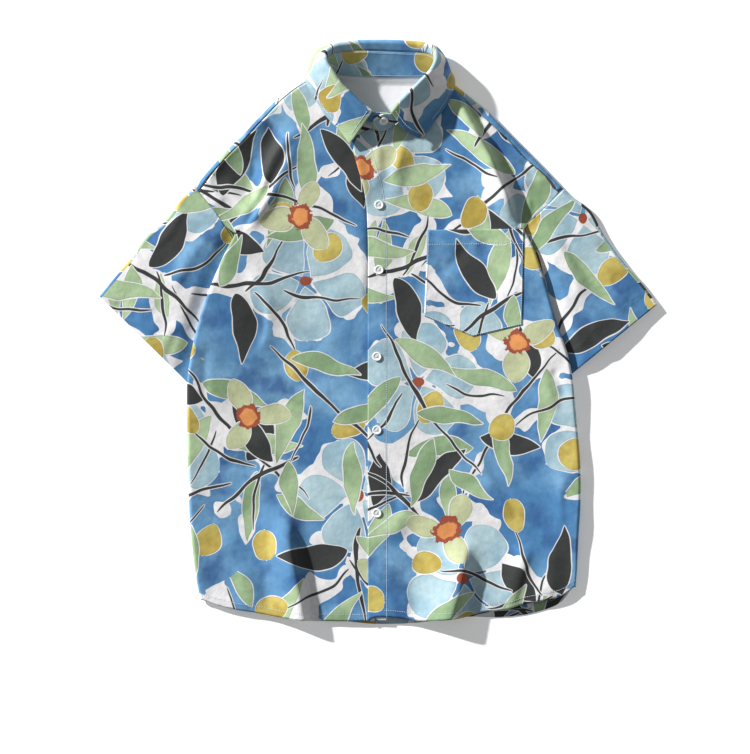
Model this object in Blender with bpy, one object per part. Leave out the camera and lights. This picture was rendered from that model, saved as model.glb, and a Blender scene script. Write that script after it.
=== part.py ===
"""Short-sleeved patterned shirt laid flat on its back, collar standing, all buttons fastened.

The frame: origin on the surface under the chest, +X to the wearer's left, +Y to the collar, +Z up.
Tables are in millimetres in that frame; every cut piece is one closed wall of cloth.
"""
import math

import bpy
import numpy as np
from mathutils import Vector

for old in list(bpy.data.objects):
    bpy.data.objects.remove(old, do_unlink=True)

MM = 0.001
WALL = 1.5            # body and sleeve cloth with its seam allowances
BAND_WALL = 1.6       # collar cloth, two layers and interlining
PATCH_WALL = 1.0      # placket and pocket
SEAM = 0.4            # half of the space left between two sewn edges, in plan
LIFT = 0.35           # space left between two layers that touch
LAP = WALL + 0.6      # the left front over the right one, wall to wall
PLACKET_WIDTH = 24.0
SEAT = WALL / 2       # mid height of cloth lying on the surface
FLAT_INSET = 8.0      # strip beside a seamed edge that stays in the plane of its panel

# ---- right front (the wearer's), lies under at the centre: x, y along each edge ----
HEM_RIGHT = [
    (12.3, -374.7), (-12.3, -375.3), (-58.5, -375.3), (-107.2, -373.4), (-132, -369.6), (-157.3, -364.9),
    (-182.7, -361), (-207.3, -355.8), (-229.5, -348)]
SIDE_RIGHT = [
    (-229.5, -348), (-234.7, -320.7), (-239.3, -285.6), (-243.1, -244), (-245.6, -192), (-246.9, -130.9),
    (-246.9, -88), (-246.3, -62), (-243.1, -36), (-237.2, -7.4), (-229.5, 21.2), (-219.1, 52.4),
    (-207.3, 81), (-195.7, 107), (-188.5, 120), (-185.2, 128.1), (-190.5, 132.3), (-199.6, 140.8),
    (-210, 156.4), (-223, 172), (-232.7, 183.4)]
CENTRE_RIGHT = [
    (12.3, -374.7), (11.7, -192), (11.1, 42), (11.1, 168.1), (11.1, 224), (11.1, 269.5)]
NECK_RIGHT = [
    (11.1, 269.5), (0.7, 268.7), (-11.1, 271.8), (-24.1, 279.2), (-41, 294.2), (-54, 310.4),
    (-62, 325.4), (-65, 337.7)]
SHOULDER_RIGHT = [
    (-65, 337.7), (-85.2, 328.6), (-103.4, 317.6), (-121.5, 303.6), (-141.1, 284.4), (-159.2, 265.2),
    (-173.6, 249.3), (-194.3, 229.2), (-216.5, 205.1), (-232.7, 183.4)]

# ---- left front, on top at the centre ----
HEM_LEFT = [
    (-12.3, -374.7), (-4.5, -370.8), (9.8, -369.8), (29.2, -371.4), (52.6, -374.7), (81.2, -374),
    (107.2, -371.4), (141.1, -363), (168.3, -360.4), (189.2, -353.9), (219.1, -348), (243.8, -341),
    (256.8, -331.1)]
SIDE_LEFT = [
    (256.8, -331.1), (258.7, -309), (260, -276.5), (263.2, -220.6), (262.6, -166), (260, -133.5),
    (256.1, -94.5), (252.2, -56.8), (246.3, -28.2), (232.1, 12.1), (221.7, 47.2), (211.2, 83.6),
    (200.8, 112.2), (194.3, 125.2), (189.8, 133.6), (198.2, 144.7), (212.6, 157.7), (224.2, 168.7),
    (234.7, 181.7)]
CENTRE_LEFT = [
    (-12.3, -374.7), (-12.3, -296), (-12.6, -192), (-12.6, -88), (-12.6, 42), (-13, 133),
    (-15, 168.1), (-19.5, 192.8), (-26.7, 217.5), (-31.2, 237), (-27.9, 251.3), (-18.9, 259.7),
    (-8.5, 263.6)]
NECK_LEFT = [
    (-8.5, 263.6), (-0.7, 261), (7.9, 260.7), (20.8, 268.8), (34.5, 277.9), (50.1, 292.9),
    (65.7, 309.8), (76, 324.1), (80.6, 337.7)]
SHOULDER_LEFT = [
    (80.6, 337.7), (94.2, 320.2), (109.9, 305.9), (130.7, 285.7), (152.8, 265.6), (171, 248.7),
    (194.3, 224), (212.6, 207.7), (225.6, 195.4), (234.7, 181.7)]

# ---- back, from the hem's right corner round to the left; the shoulders are its folded outline ----
BACK_HEM = [
    (-226.2, -348), (-182.7, -359.1), (-132, -367.5), (-70.9, -373.7), (-35.8, -376), (-12.3, -378.4),
    (18.9, -378.9), (48.8, -377.6), (81.2, -374), (120.2, -369.5), (146.2, -370.4), (167.1, -369.6),
    (206.1, -363.6), (239.8, -349.3), (252.9, -332.4)]
BACK_SIDE_RIGHT = [
    (-226.2, -348), (-232.1, -315.5), (-236.6, -276.5), (-240.5, -224.5), (-242.1, -166), (-242.1, -120.5),
    (-237.2, -94.5), (-228.2, -76.3), (-217.1, -47.7), (-205.4, -15.2), (-185.9, 35.5), (-174.2, 66.7),
    (-171.5, 77.1), (-174.2, 86.2), (-178.8, 97.2), (-184, 114.8), (-190.5, 129.1), (-199.6, 140.8),
    (-210, 156.4), (-223, 172), (-237.2, 188.2)]
BACK_SIDE_LEFT = [
    (252.9, -332.4), (255.5, -276.5), (258.4, -220.6), (258.1, -166), (256.1, -133.5), (251.6, -104.9),
    (242.5, -86.7), (231.4, -67.2), (210.6, -17.8), (189.2, 31.6), (172.9, 69.3), (170.2, 79.7),
    (173, 88.8), (177.5, 99.2), (182.7, 117.4), (189.2, 133), (198.2, 144.7), (212.6, 157.7),
    (224.2, 168.7), (241.2, 185.6)]
BACK_SHOULDER_RIGHT = [
    (-237.2, 188.2), (-218.4, 210.3), (-197.3, 233.7), (-185.2, 246.7), (-174.8, 255.8), (-162.4, 269.5),
    (-143.7, 289), (-124.2, 308.5), (-106, 322.8), (-89, 333.8), (-77.4, 339.9), (-67, 343.2)]
BACK_NECK = [
    (-67, 343.2), (-59.1, 339.4), (-48.8, 335.8), (-27.9, 332.2), (-3.2, 331.5), (13.7, 331.2),
    (33.1, 331.1), (54, 330.9), (68.2, 333.8), (76, 338.4), (82.5, 343.2)]
BACK_SHOULDER_LEFT = [
    (82.5, 343.2), (91, 331.2), (99.5, 321.5), (109.5, 313.7), (126.8, 300), (141.8, 287.7),
    (154.1, 274.7), (180.1, 248.7), (200.8, 227.9), (221.7, 206.4), (241.2, 185.6)]
# height of the back's neck edge along the neck: share of its length, z
NECK_RISE = [(0, 8.2), (0.1, 6.6), (0.25, 5.2), (0.5, 4.6), (0.75, 5.2), (0.9, 6.6), (1, 8.2)]

# ---- sleeves: armhole seam, cuff, fold over the arm, fold under the arm ----
ARM_RIGHT = [
    (-237.2, 188.2), (-223, 172), (-210, 156.4), (-199.6, 140.8), (-190.5, 129.1), (-184, 114.8),
    (-178.8, 96.6), (-175.5, 78.4)]
CUFF_RIGHT = [
    (-360.8, 46.5), (-319.2, 6.2), (-276.2, -35.4), (-234.7, -76.3)]
OVER_RIGHT = [
    (-237.2, 188.2), (-254.2, 172), (-272.4, 147.3), (-300.9, 122.6), (-316.6, 100.5), (-339.9, 71.9),
    (-360.8, 46.5)]
UNDER_RIGHT = [
    (-175.5, 78.4), (-195, 27.7), (-215.2, -25.6), (-234.7, -76.3)]
ARM_LEFT = [
    (241.2, 185.6), (233.3, 177.8), (224.2, 168.7), (212.6, 157.7), (198.2, 144.7), (189.2, 133),
    (182.7, 117.4), (177.5, 99.2), (174.2, 81)]
CUFF_LEFT = [
    (363.4, 36), (321.8, 2.5), (278.9, -32.1), (237.2, -65.9)]
OVER_LEFT = [
    (241.2, 185.6), (247.7, 179.8), (276.2, 157.7), (291.9, 129.1), (321.8, 87.5), (345.2, 60.2),
    (363.4, 36)]
UNDER_LEFT = [
    (174.2, 81), (195, 32.2), (216.5, -17.2), (237.2, -65.9)]
# upper layer of a sleeve: share of the way to the cuff, then z at 0, 0.2, 0.45, 0.7, 1 across it
SLEEVE_LOFT = [
    (0.0, 8.2, 8.5, 8.6, 8.0, 4.6),
    (0.3, 7.4, 9.2, 10.4, 9.4, 4.6),
    (0.6, 7.0, 9.0, 10.6, 9.8, 4.6),
    (0.85, 6.8, 8.8, 10.0, 9.0, 4.6),
    (1.0, 6.4, 8.4, 9.4, 8.4, 4.6),
]
SLEEVE_ACROSS = (0.0, 0.2, 0.45, 0.7, 1.0)
SLEEVE_LOW = 4.6      # upper layer where the body lies on it
TUCK = 22.0           # the sleeve sinks to that height over this distance from the body's fold

# ---- height of the front cloth, its middle, over the surface: x, y, z ----
HEIGHTS = [
    (-226.8, -345.4, 7.5), (-238.6, -285.6, 9.5), (-242.5, -218, 10.4), (-245.1, -130.9, 10.4),
    (-245.1, -81.5, 12.2), (-242.5, -42.5, 13.8), (-233.3, 3, 14), (-221.7, 42, 14),
    (-206.1, 81, 14), (-193.1, 107, 13.4), (-184, 127.8, 9.5), (-199.6, 140.8, 8.6),
    (-217.8, 166.8, 8.4), (-236, 186.9, 8.2), (-194.3, 230.5, 8.6), (-159.2, 265.6, 9),
    (-121.5, 303.9, 9.4), (-85.2, 328.6, 9.6), (-65.7, 337.7, 9.6), (-62.4, 325.4, 10),
    (-54, 310.4, 10.4), (-41, 293.5, 10.8), (-24.1, 277.9, 11), (-11.1, 270.1, 10.6),
    (11.1, 266.2, 10.2), (-0.7, 237, 10.4), (-0.7, 204.5, 9), (-0.7, 165.5, 7.2),
    (-0.7, 120, 6.2), (-0.7, 42, 5.4), (-0.7, -30.8, 5), (-0.7, -127, 4.8),
    (-0.7, -234.9, 5), (-0.7, -296, 5.2), (-0.7, -374, 5.4), (-100.8, -372.7, 5.8),
    (-172.2, -361, 7), (-191.8, -296, 8), (-198.2, -218, 6.8), (-202.2, -127, 6.8),
    (-198.2, -68.5, 9), (-185.2, -10, 11), (-172.2, 42, 11.5), (-163.2, 87.5, 10.8),
    (-155.3, 126.5, 9.8), (-165.8, 185, 8.8), (-146.2, 224, 8.8), (-100.8, 286.4, 9.6),
    (-87.8, 237, 9), (-100.8, 172, 8), (-111.2, 94, 7.4), (-124.2, 3, 6.2),
    (-137.2, -88, 5.2), (-139.8, -192, 5), (-139.8, -283, 5.6), (-61.8, -322, 5.2),
    (-61.8, -218, 4.8), (-61.8, -88, 4.6), (-61.8, 42, 5.4), (-61.8, 133, 6.6),
    (-55.2, 211, 8.6), (254.2, -329.8, 7.5), (258.7, -276.5, 9.5), (260.7, -220.6, 10.4),
    (259.4, -153, 10.4), (254.8, -88, 12.2), (248.3, -49, 13.8), (233.3, 3, 14),
    (217.8, 52.4, 14), (203.5, 97.9, 13.4), (190.5, 133, 9.5), (204.8, 149.9, 8.6),
    (221.7, 166.8, 8.4), (233.3, 181.1, 8.2), (194.3, 224, 8.6), (152.8, 265.6, 9),
    (109.9, 305.9, 9.4), (94.2, 320.2, 9.6), (80.6, 337.7, 9.6), (76, 324.1, 10),
    (65.7, 309.8, 10.4), (50.1, 292.9, 10.8), (34.5, 278.6, 11), (20.8, 269.5, 10.6),
    (250.2, -179, 9.8), (81.2, -372.7, 5.6), (159.2, -361, 6.4), (204.8, -350.6, 7),
    (217.8, -296, 8), (224.2, -218, 6.8), (224.2, -127, 7), (215.2, -68.5, 9.4),
    (198.2, -10, 11), (185.2, 42, 11.4), (174.8, 91.4, 10.6), (164.5, 126.5, 9.6),
    (172.2, 185, 8.8), (152.8, 224, 8.8), (100.8, 282.5, 9.6), (87.8, 237, 9),
    (100.8, 172, 7.8), (109.9, 94, 6.8), (130.7, 3, 5.8), (148.8, -88, 5),
    (152.8, -192, 5), (146.2, -283, 5.6), (61.8, -322, 5.2), (61.8, -218, 4.8),
    (61.8, -88, 4.6), (61.8, 42, 5.2), (61.8, 133, 6.4), (55.2, 211, 8.6)]
# ridges and troughs of the front cloth: name, height, half width left of the line, right of it, line
FOLDS = [
    ("shoulder to side, right", 4.6, 16, 9, [
        (-106, 278.6), (-125.5, 247.4), (-142.3, 213.6), (-156.7, 177.2), (-172.2, 146), (-184, 122.6)]),
    ("shoulder tuck, right", 3.2, 12, 10, [
        (-125.5, 291.6), (-150.2, 261.7), (-178.8, 227.9), (-199.6, 200.6)]),
    ("armhole draw, right", 2.2, 10, 10, [(-202.2, 203.2), (-181.3, 177.2), (-163.2, 140.8)]),
    ("shoulder to side, left", 7.6, 11, 24, [
        (109.9, 294.2), (125.5, 273.4), (146.2, 240.9), (163.2, 205.8), (176.2, 172), (185.2, 143.4)]),
    ("shoulder tuck, left", 1.6, 8, 8, [(165.8, 237), (184, 211), (195.7, 182.4)]),
    ("placket puff", 2.6, 9, 9, [(-33.1, 237), (-26.7, 216.2), (-20.2, 190.2), (-15, 159)]),
    ("placket ridge", 1.8, 7, 7, [(2, 250), (0.7, 217.5), (-2, 182.4)]),
    ("collar draw, left", 2.2, 9, 9, [(41, 247.4), (29.2, 211), (20.2, 165.5)]),
    ("underarm draw, right", 2.2, 14, 14, [(-171, 91.4), (-139.8, 42), (-98.2, 3)]),
    ("underarm draw, left", 1.2, 22, 22, [(181.3, 91.4), (165.8, 47.2), (143.7, 13.4)]),
    ("waist, right", 1.6, 16, 16, [(-212.6, -155.6), (-168.3, -140), (-113.8, -147.8)]),
    ("hem crease, right", 11.5, 14, 27, [
        (-120.2, -218), (-117.7, -270), (-108.5, -322), (-98.2, -376.6), (-89, -426)]),
    ("hem wave, right", 1.8, 14, 14, [(-178.8, -296), (-169.7, -332.4), (-163.2, -364.9)]),
    ("middle wave, left", 1.9, 13, 13, [(43.6, -179), (31.9, -231), (20.2, -276.5)]),
    ("hem wave, left", 2.6, 13, 13, [(195.7, -270), (177.5, -315.5), (163.2, -362.3)]),
    ("corner wave, left", 1.8, 12, 12, [(232.1, -276.5), (226.8, -315.5), (223, -348)]),
    ("chest dent, left", -1.2, 22, 22, [(96.9, 83.6), (128.1, 60.2), (159.2, 42)]),
    ("seat wave, left", 12.5, 15, 34, [
        (115, -263.5), (108.5, -309), (99.5, -350.6), (93, -376.6), (86.5, -428.6)]),]
# side folds of the fronts, up to the armhole: y, z of the cloth turned under, its width, z at its end
EDGE_RIGHT = [
    (-363.6, 2.6, 6, 2.6),
    (-296, 2.6, 7, 2.6),
    (-127, 2.6, 8, 2.6),
    (-104.9, 4, 8, 2.9),
    (-84.1, 7, 14, 2.8),
    (-64.6, 7, 21.5, 2.7),
    (-38.6, 7, 27.5, 2.7),
    (-0.9, 7, 33, 2.7),
    (35.5, 7, 35, 2.7),
    (57.6, 7, 38, 2.8),
    (66.7, 7, 38.5, 4.9),
    (77.1, 7, 30, 6.9),
    (99.2, 7, 15, 7),
    (112.2, 6.8, 8, 6.8),
    (123.9, 6.6, 6, 6.6),]
EDGE_LEFT = [
    (-348, 2.6, 6, 2.6),
    (-296, 2.6, 7, 2.6),
    (-120.5, 2.6, 8, 2.6),
    (-98.4, 4.2, 9, 2.9),
    (-76.3, 7, 17.5, 2.8),
    (-56.8, 7, 24, 2.7),
    (-28.2, 7, 29.5, 2.7),
    (5.6, 7, 31.5, 2.7),
    (39.4, 7, 35.5, 2.7),
    (62.8, 7, 39, 2.8),
    (71.9, 7, 39.5, 4.6),
    (81, 7, 33, 6.9),
    (99.2, 7, 22.5, 7),
    (113.5, 6.8, 13, 6.8),
    (129.1, 6.6, 6, 6.6),]

# ---- collar stations from the stand's under end round the neck to its over end ----
# part, stand at the neck seam (x, y), stand top, then the fall: rise over the stand, roll radius,
# middle, edge
COLLAR = [
    ("under end", (13, 270.5), (13.7, 284.3, 26.5), None, None, None, None),
    ("under", (5.9, 269.5), (6.5, 284.1, 28), None, None, None, None),
    ("under", (-2.6, 270), (-0.3, 283.8, 29.8), None, None, None, None),
    ("front right", (-11.7, 273), (-6.5, 283.9, 31.5),
     2, 1.9, (-21.4, 263.6, 26.5), (-35.8, 243.5, 18)),
    ("right", (-24.1, 279.9), (-18.9, 292.9, 34), 2.4, 2.2, (-33.8, 274, 27.5), (-49.4, 261.7, 16.5)),
    ("right", (-40.6, 294.8), (-35, 307.8, 36), 2.8, 2.4, (-51.4, 289.6, 28.5), (-65.7, 279.2, 14.5)),
    ("right", (-52.9, 311.1), (-48.8, 322.4, 37.5), 3, 2.5, (-66.3, 309.1, 29), (-80.6, 302.6, 13.2)),
    ("right", (-60.7, 324.4), (-57.2, 335.5, 37.5),
     3.2, 2.6, (-77.4, 325.4, 28.5), (-91.3, 320.2, 12.6)),
    ("shoulder right", (-63.3, 333.2), (-64, 346.4, 35.5),
     3.4, 2.8, (-84.5, 340.3, 25), (-93.2, 334.5, 11)),
    ("corner right", (-59.8, 336.3), (-65, 354.6, 32.5),
     4, 3, (-85.8, 353.3, 21.5), (-88.4, 346.2, 7)),
    ("corner right", (-51.4, 335), (-57.9, 360.2, 28.5),
     5.5, 3.4, (-78, 366.3, 16), (-73.5, 352.7, 3.4)),
    ("back right", (-39.6, 333.4), (-46.8, 362.8, 25),
     7.5, 3.6, (-61.1, 372.7, 12.5), (-54, 351.4, 1.8)),
    ("back", (-22.8, 332.2), (-27.3, 364.4, 22), 8.6, 3.8, (-34.5, 374, 11), (-33.1, 349.4, 1.3)),
    ("back", (-4.5, 331.8), (-7.2, 364.4, 20.6), 9, 3.8, (-10.4, 374.3, 10), (-9.8, 348.1, 1.1)),
    ("back", (13.7, 331.5), (13.7, 363.6, 20.2), 9.6, 3.8, (13.7, 374, 9.8), (13.7, 347.5, 1.1)),
    ("back", (31.9, 331.4), (33.1, 362.8, 20.8), 9.6, 3.8, (36.5, 373.2, 10.2), (35.8, 348.1, 1.1)),
    ("back", (50.1, 331.4), (53.3, 361.8, 22.6), 9, 3.8, (59.1, 372.4, 11.2), (57.9, 349.4, 1.4)),
    ("back left", (64.4, 332.4), (67, 359.7, 25.6), 7.5, 3.6, (76.7, 369.6, 13.5), (76, 351.4, 2)),
    ("corner left", (73.2, 334.8), (72.8, 355.6, 29.5), 5.5, 3.4, (85.2, 359.8, 18), (84.5, 349.4, 4)),
    ("shoulder left", (77.1, 331.4), (73.7, 348, 33.5), 4, 3, (91, 347.5, 25), (93.2, 341.6, 9.8)),
    ("left", (74.5, 323.6), (68, 336.1, 36.8), 3.4, 2.7, (84.5, 329.3, 29), (100.2, 327.3, 12.2)),
    ("left", (64.9, 310.3), (56.3, 323.8, 37.6), 3, 2.5, (76, 311.7, 30), (97.5, 310.4, 13)),
    ("left", (49.5, 293.9), (42.2, 309.5, 37), 2.8, 2.4, (63.1, 294.2, 30.5), (86.2, 289.6, 14.2)),
    ("left", (34.7, 279.4), (27.3, 294.4, 35.4), 2.4, 2.2, (49.4, 277.3, 29), (71.5, 270.1, 16)),
    ("front left", (24.7, 271.6), (17.6, 282.6, 33.2), 2, 1.9, (35.8, 261, 28), (56.6, 250.2, 18)),
    ("over", (15.6, 265.1), (10.4, 282.5, 32.6), None, None, None, None),
    ("over", (5.2, 261.2), (2.6, 280.4, 31.6), None, None, None, None),
    ("over end", (-6.9, 264.8), (-5.1, 275.5, 27.5), None, None, None, None),]

# ---- pocket corners: top inner, top outer, lower outer, point, lower inner ----
POCKET = [
    (65.4, 133), (190.5, 134.3), (187.8, 9.5), (124.2, -5.5), (60.5, 21.2)]

# ---- buttons: x, y, the piece they sit on ----
BUTTONS = [
    (7.9, 273.4, "stand"),
    (2, 165.5, "placket"),
    (2, 81, "placket"),
    (-0.7, -31.5, "placket"),
    (-0.7, -127, "placket"),
    (-0.7, -234.9, "placket"),]
# turned section of a button: radius, height
BUTTON_SECTION = [(4.9, 0.0), (5.75, 0.7), (5.75, 1.7), (5.1, 2.3), (4.4, 2.2), (3.7, 1.5)]
BUTTON_FLOOR = 1.5
HOLE_RADIUS = 0.85
HOLE_OFFSET = 1.45

# ---- materials: what the name starts with, colour, roughness, metallic ----
LOOKS = [
    ("button", (0.86, 0.86, 0.83), 0.28, 0.0),
    ("collar_stand", (0.80, 0.82, 0.84), 0.8, 0.0),
    ("", (0.17, 0.29, 0.42), 0.75, 0.0),
]


def step(x):
    """Ease from 0 to 1."""
    x = np.clip(x, 0.0, 1.0)
    return x * x * (3 - 2 * x)


def through(points, at):
    """Smooth curve through points; at counts points, 1.5 is half way from the second on."""
    p = np.array(points, float)
    d = np.concatenate([[0.0], np.cumsum(np.linalg.norm(np.diff(p, axis=0), axis=1))])
    slope = np.gradient(p, d, axis=0)
    at = np.asarray(at, float)
    i = np.clip(at.astype(int), 0, len(p) - 2)
    t = (at - i)[:, None]
    h = (d[i + 1] - d[i])[:, None]
    a, b = p[i], p[i + 1]
    return (
        (2 * t**3 - 3 * t**2 + 1) * a + (t**3 - 2 * t**2 + t) * h * slope[i]
        + (3 * t**2 - 2 * t**3) * b + (t**3 - t**2) * h * slope[i + 1]
    )


def along(points, shares):
    """The same curve read at shares of its length."""
    fine = through(points, np.linspace(0, len(points) - 1, 12 * len(points)))
    d = np.concatenate([[0.0], np.cumsum(np.linalg.norm(np.diff(fine, axis=0), axis=1))])
    s = np.asarray(shares, float) * d[-1]
    return np.stack([np.interp(s, d, fine[:, k]) for k in range(fine.shape[1])], axis=1)


def length(points):
    fine = through(points, np.linspace(0, len(points) - 1, 12 * len(points)))
    return float(np.linalg.norm(np.diff(fine, axis=0), axis=1).sum())


def share_of(points, index):
    """Share of a curve's length at which it passes one of its points."""
    return length(points[: index + 1]) / length(points)


def ends(curve, first, last):
    """Move a curve's ends to two points and carry the rest along."""
    t = np.linspace(0, 1, len(curve))[:, None]
    return curve + (1 - t) * (first - curve[0]) + t * (last - curve[-1])


def inward(curve, side):
    """Unit normals of a plan curve, side +1 to its left and -1 to its right."""
    t = np.gradient(curve, axis=0)
    t /= np.linalg.norm(t, axis=1)[:, None]
    return side * np.stack([-t[:, 1], t[:, 0]], axis=1)


def plan_patch(low, high, first, last):
    """Plan grid between four edges: rows go from low to high, columns from first to last."""
    def shares(c):
        d = np.concatenate([[0.0], np.cumsum(np.linalg.norm(np.diff(c, axis=0), axis=1))])
        return d / d[-1]
    u = ((shares(low) + shares(high)) / 2)[None, :, None]
    v = ((shares(first) + shares(last)) / 2)[:, None, None]
    return (
        (1 - v) * low[None] + v * high[None] + (1 - u) * first[:, None] + u * last[:, None]
        - (1 - u) * (1 - v) * low[0] - u * (1 - v) * low[-1]
        - (1 - u) * v * high[0] - u * v * high[-1]
    )


def plate(points):
    """Height over the plan as a thin plate bent through points."""
    p = np.array(points, float)
    xy, z = p[:, :2] / 100, p[:, 2]

    def kernel(a, b):
        r2 = ((a[:, None] - b[None]) ** 2).sum(axis=2)
        return r2 * np.log(r2 + 1e-12)

    n = len(p)
    m = np.zeros((n + 3, n + 3))
    m[:n, :n] = kernel(xy, xy) + 0.0002 * np.eye(n)
    m[:n, n], m[:n, n + 1 :] = 1, xy
    m[n:, :n] = m[:n, n:].T
    w = np.linalg.solve(m, np.concatenate([z, np.zeros(3)]))

    def height(q):
        q = np.asarray(q, float)
        flat = q.reshape(-1, 2) / 100
        h = kernel(flat, xy) @ w[:n] + w[n] + flat @ w[n + 1 :]
        return h.reshape(q.shape[:-1])

    return height


def from_line(q, points):
    """Distance of plan points from a smooth line, the nearest spot's share of it, which side."""
    line = along(points, np.linspace(0, 1, 40))
    flat = np.asarray(q, float).reshape(-1, 2)
    d = np.linalg.norm(flat[:, None] - line[None], axis=2)
    d[np.isnan(d)] = 1e3
    k = d.argmin(axis=1)
    ahead, off = np.gradient(line, axis=0)[k], flat - line[k]
    left = ahead[:, 0] * off[:, 1] > ahead[:, 1] * off[:, 0]
    shape = q.shape[:-1]
    return d.min(axis=1).reshape(shape), (k / 39.0).reshape(shape), left.reshape(shape)


base_height = plate(HEIGHTS)


def front_height(q, upper=False):
    """Middle of the front cloth over a plan point; the upper front laps over the lower."""
    h = base_height(q)
    for name, rise, half_left, half_right, line in FOLDS:
        if name.startswith("placket") and not upper:
            continue
        d, s, left = from_line(q, line)
        half = np.where(left, half_left, half_right)
        h = h + rise * np.exp(-((d / half) ** 2)) * step(s * 5) * step((1 - s) * 5)
    if upper:
        h = h + LAP * (1 - step((q[..., 0] - 14) / 40))
    return h


shirt = bpy.data.objects.new("shirt", None)
bpy.context.scene.collection.objects.link(shirt)


def solid(name, verts, faces, sharp=40):
    """A piece from its mesh in millimetres, with its own material."""
    mesh = bpy.data.meshes.new(name)
    mesh.from_pydata([tuple(p) for p in np.asarray(verts) * MM], [], faces)
    mesh.update()
    mesh.shade_smooth()
    mesh.set_sharp_from_angle(angle=math.radians(sharp))
    _, colour, roughness, metallic = next(row for row in LOOKS if name.startswith(row[0]))
    look = bpy.data.materials.new(name)
    look.use_nodes = True
    shader = look.node_tree.nodes["Principled BSDF"]
    shader.inputs["Base Color"].default_value = (*colour, 1)
    shader.inputs["Roughness"].default_value = roughness
    shader.inputs["Metallic"].default_value = metallic
    mesh.materials.append(look)
    piece = bpy.data.objects.new(name, mesh)
    piece.parent = shirt
    bpy.context.scene.collection.objects.link(piece)
    return piece


def cells(mid, wrap=False, cut=None):
    """Corner numbers of a grid's quads; cut ones and those with an empty corner are left out."""
    rows, cols = mid.shape[:2]
    number = np.arange(rows * cols).reshape(rows, cols)
    beside = np.roll(number, -1, axis=1) if wrap else number[:, 1:]
    start = number if wrap else number[:, :-1]
    quads = np.stack([start[:-1], beside[:-1], beside[1:], start[1:]], axis=-1).reshape(-1, 4)
    if cut is not None:
        quads = quads[~cut.reshape(-1)]
    return quads[np.isfinite(mid.reshape(-1, 3)[quads]).all(axis=(1, 2))]


def normals(mid, wrap=False, cut=None):
    """Unit normals at a grid's points, from the quads round each."""
    quads, p = cells(mid, wrap, cut), mid.reshape(-1, 3)
    face = np.cross(p[quads[:, 2]] - p[quads[:, 0]], p[quads[:, 3]] - p[quads[:, 1]])
    n = np.zeros_like(p)
    for k in range(4):
        np.add.at(n, quads[:, k], face)
    size = np.linalg.norm(n, axis=1)
    size[size == 0] = 1
    return (n / size[:, None]).reshape(mid.shape)


def cloth(name, mid, wall, wrap=False, cut=None):
    """One closed wall of cloth round its middle surface; wrap joins the last column to the first."""
    quads, p = cells(mid, wrap, cut), mid.reshape(-1, 3)
    n = normals(mid, wrap, cut).reshape(-1, 3)
    used = np.unique(quads)
    place = np.zeros(len(p), int)
    place[used] = np.arange(len(used))
    under = len(used)
    verts = np.concatenate([p[used] + n[used] * wall / 2, p[used] - n[used] * wall / 2])
    q = place[quads].tolist()
    faces, edges = [], set()
    for a, b, c, d in q:
        faces += [(a, b, c), (a, c, d)]
        faces += [(c + under, b + under, a + under), (d + under, c + under, a + under)]
        edges |= {(a, b), (b, c), (c, d), (d, a)}
    for a, b in sorted(edges):
        if (b, a) not in edges:
            faces += [(b, a, a + under, b + under)]
    return solid(name, verts, faces)


def rim(outline, inner, height, low, width, end, folded, inset):
    """Columns that follow a panel's last one: flat out to a seam, or round a fold and back under."""
    r = (height - low) / 2
    columns = []
    for k in range(1, 9):
        turn = math.radians(max(90 - 36 * k, -90))
        d = r * (1 - math.cos(turn)) if k <= 5 else r + width * (0, 0.5, 0.82, 1)[k - 5]
        z = low + r + r * math.sin(turn) if k < 8 else end
        columns.append(np.where(
            folded[:, None], np.column_stack([outline + inner * d[:, None], z]),
            np.column_stack([outline + inner * (inset * (1 - k / 8))[:, None], height])))
    return np.stack(columns, axis=1)


# ---- fronts: the strip under the placket, then the panel to the side, then round the side fold ----
BELOW, ARMHOLE, ABOVE = 24, 8, 4    # rows up to the armhole's foot, beside it, of those up to the neck
ACROSS = 16
NICK = 3.0                          # from the last folded row to the foot of the armhole


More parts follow.
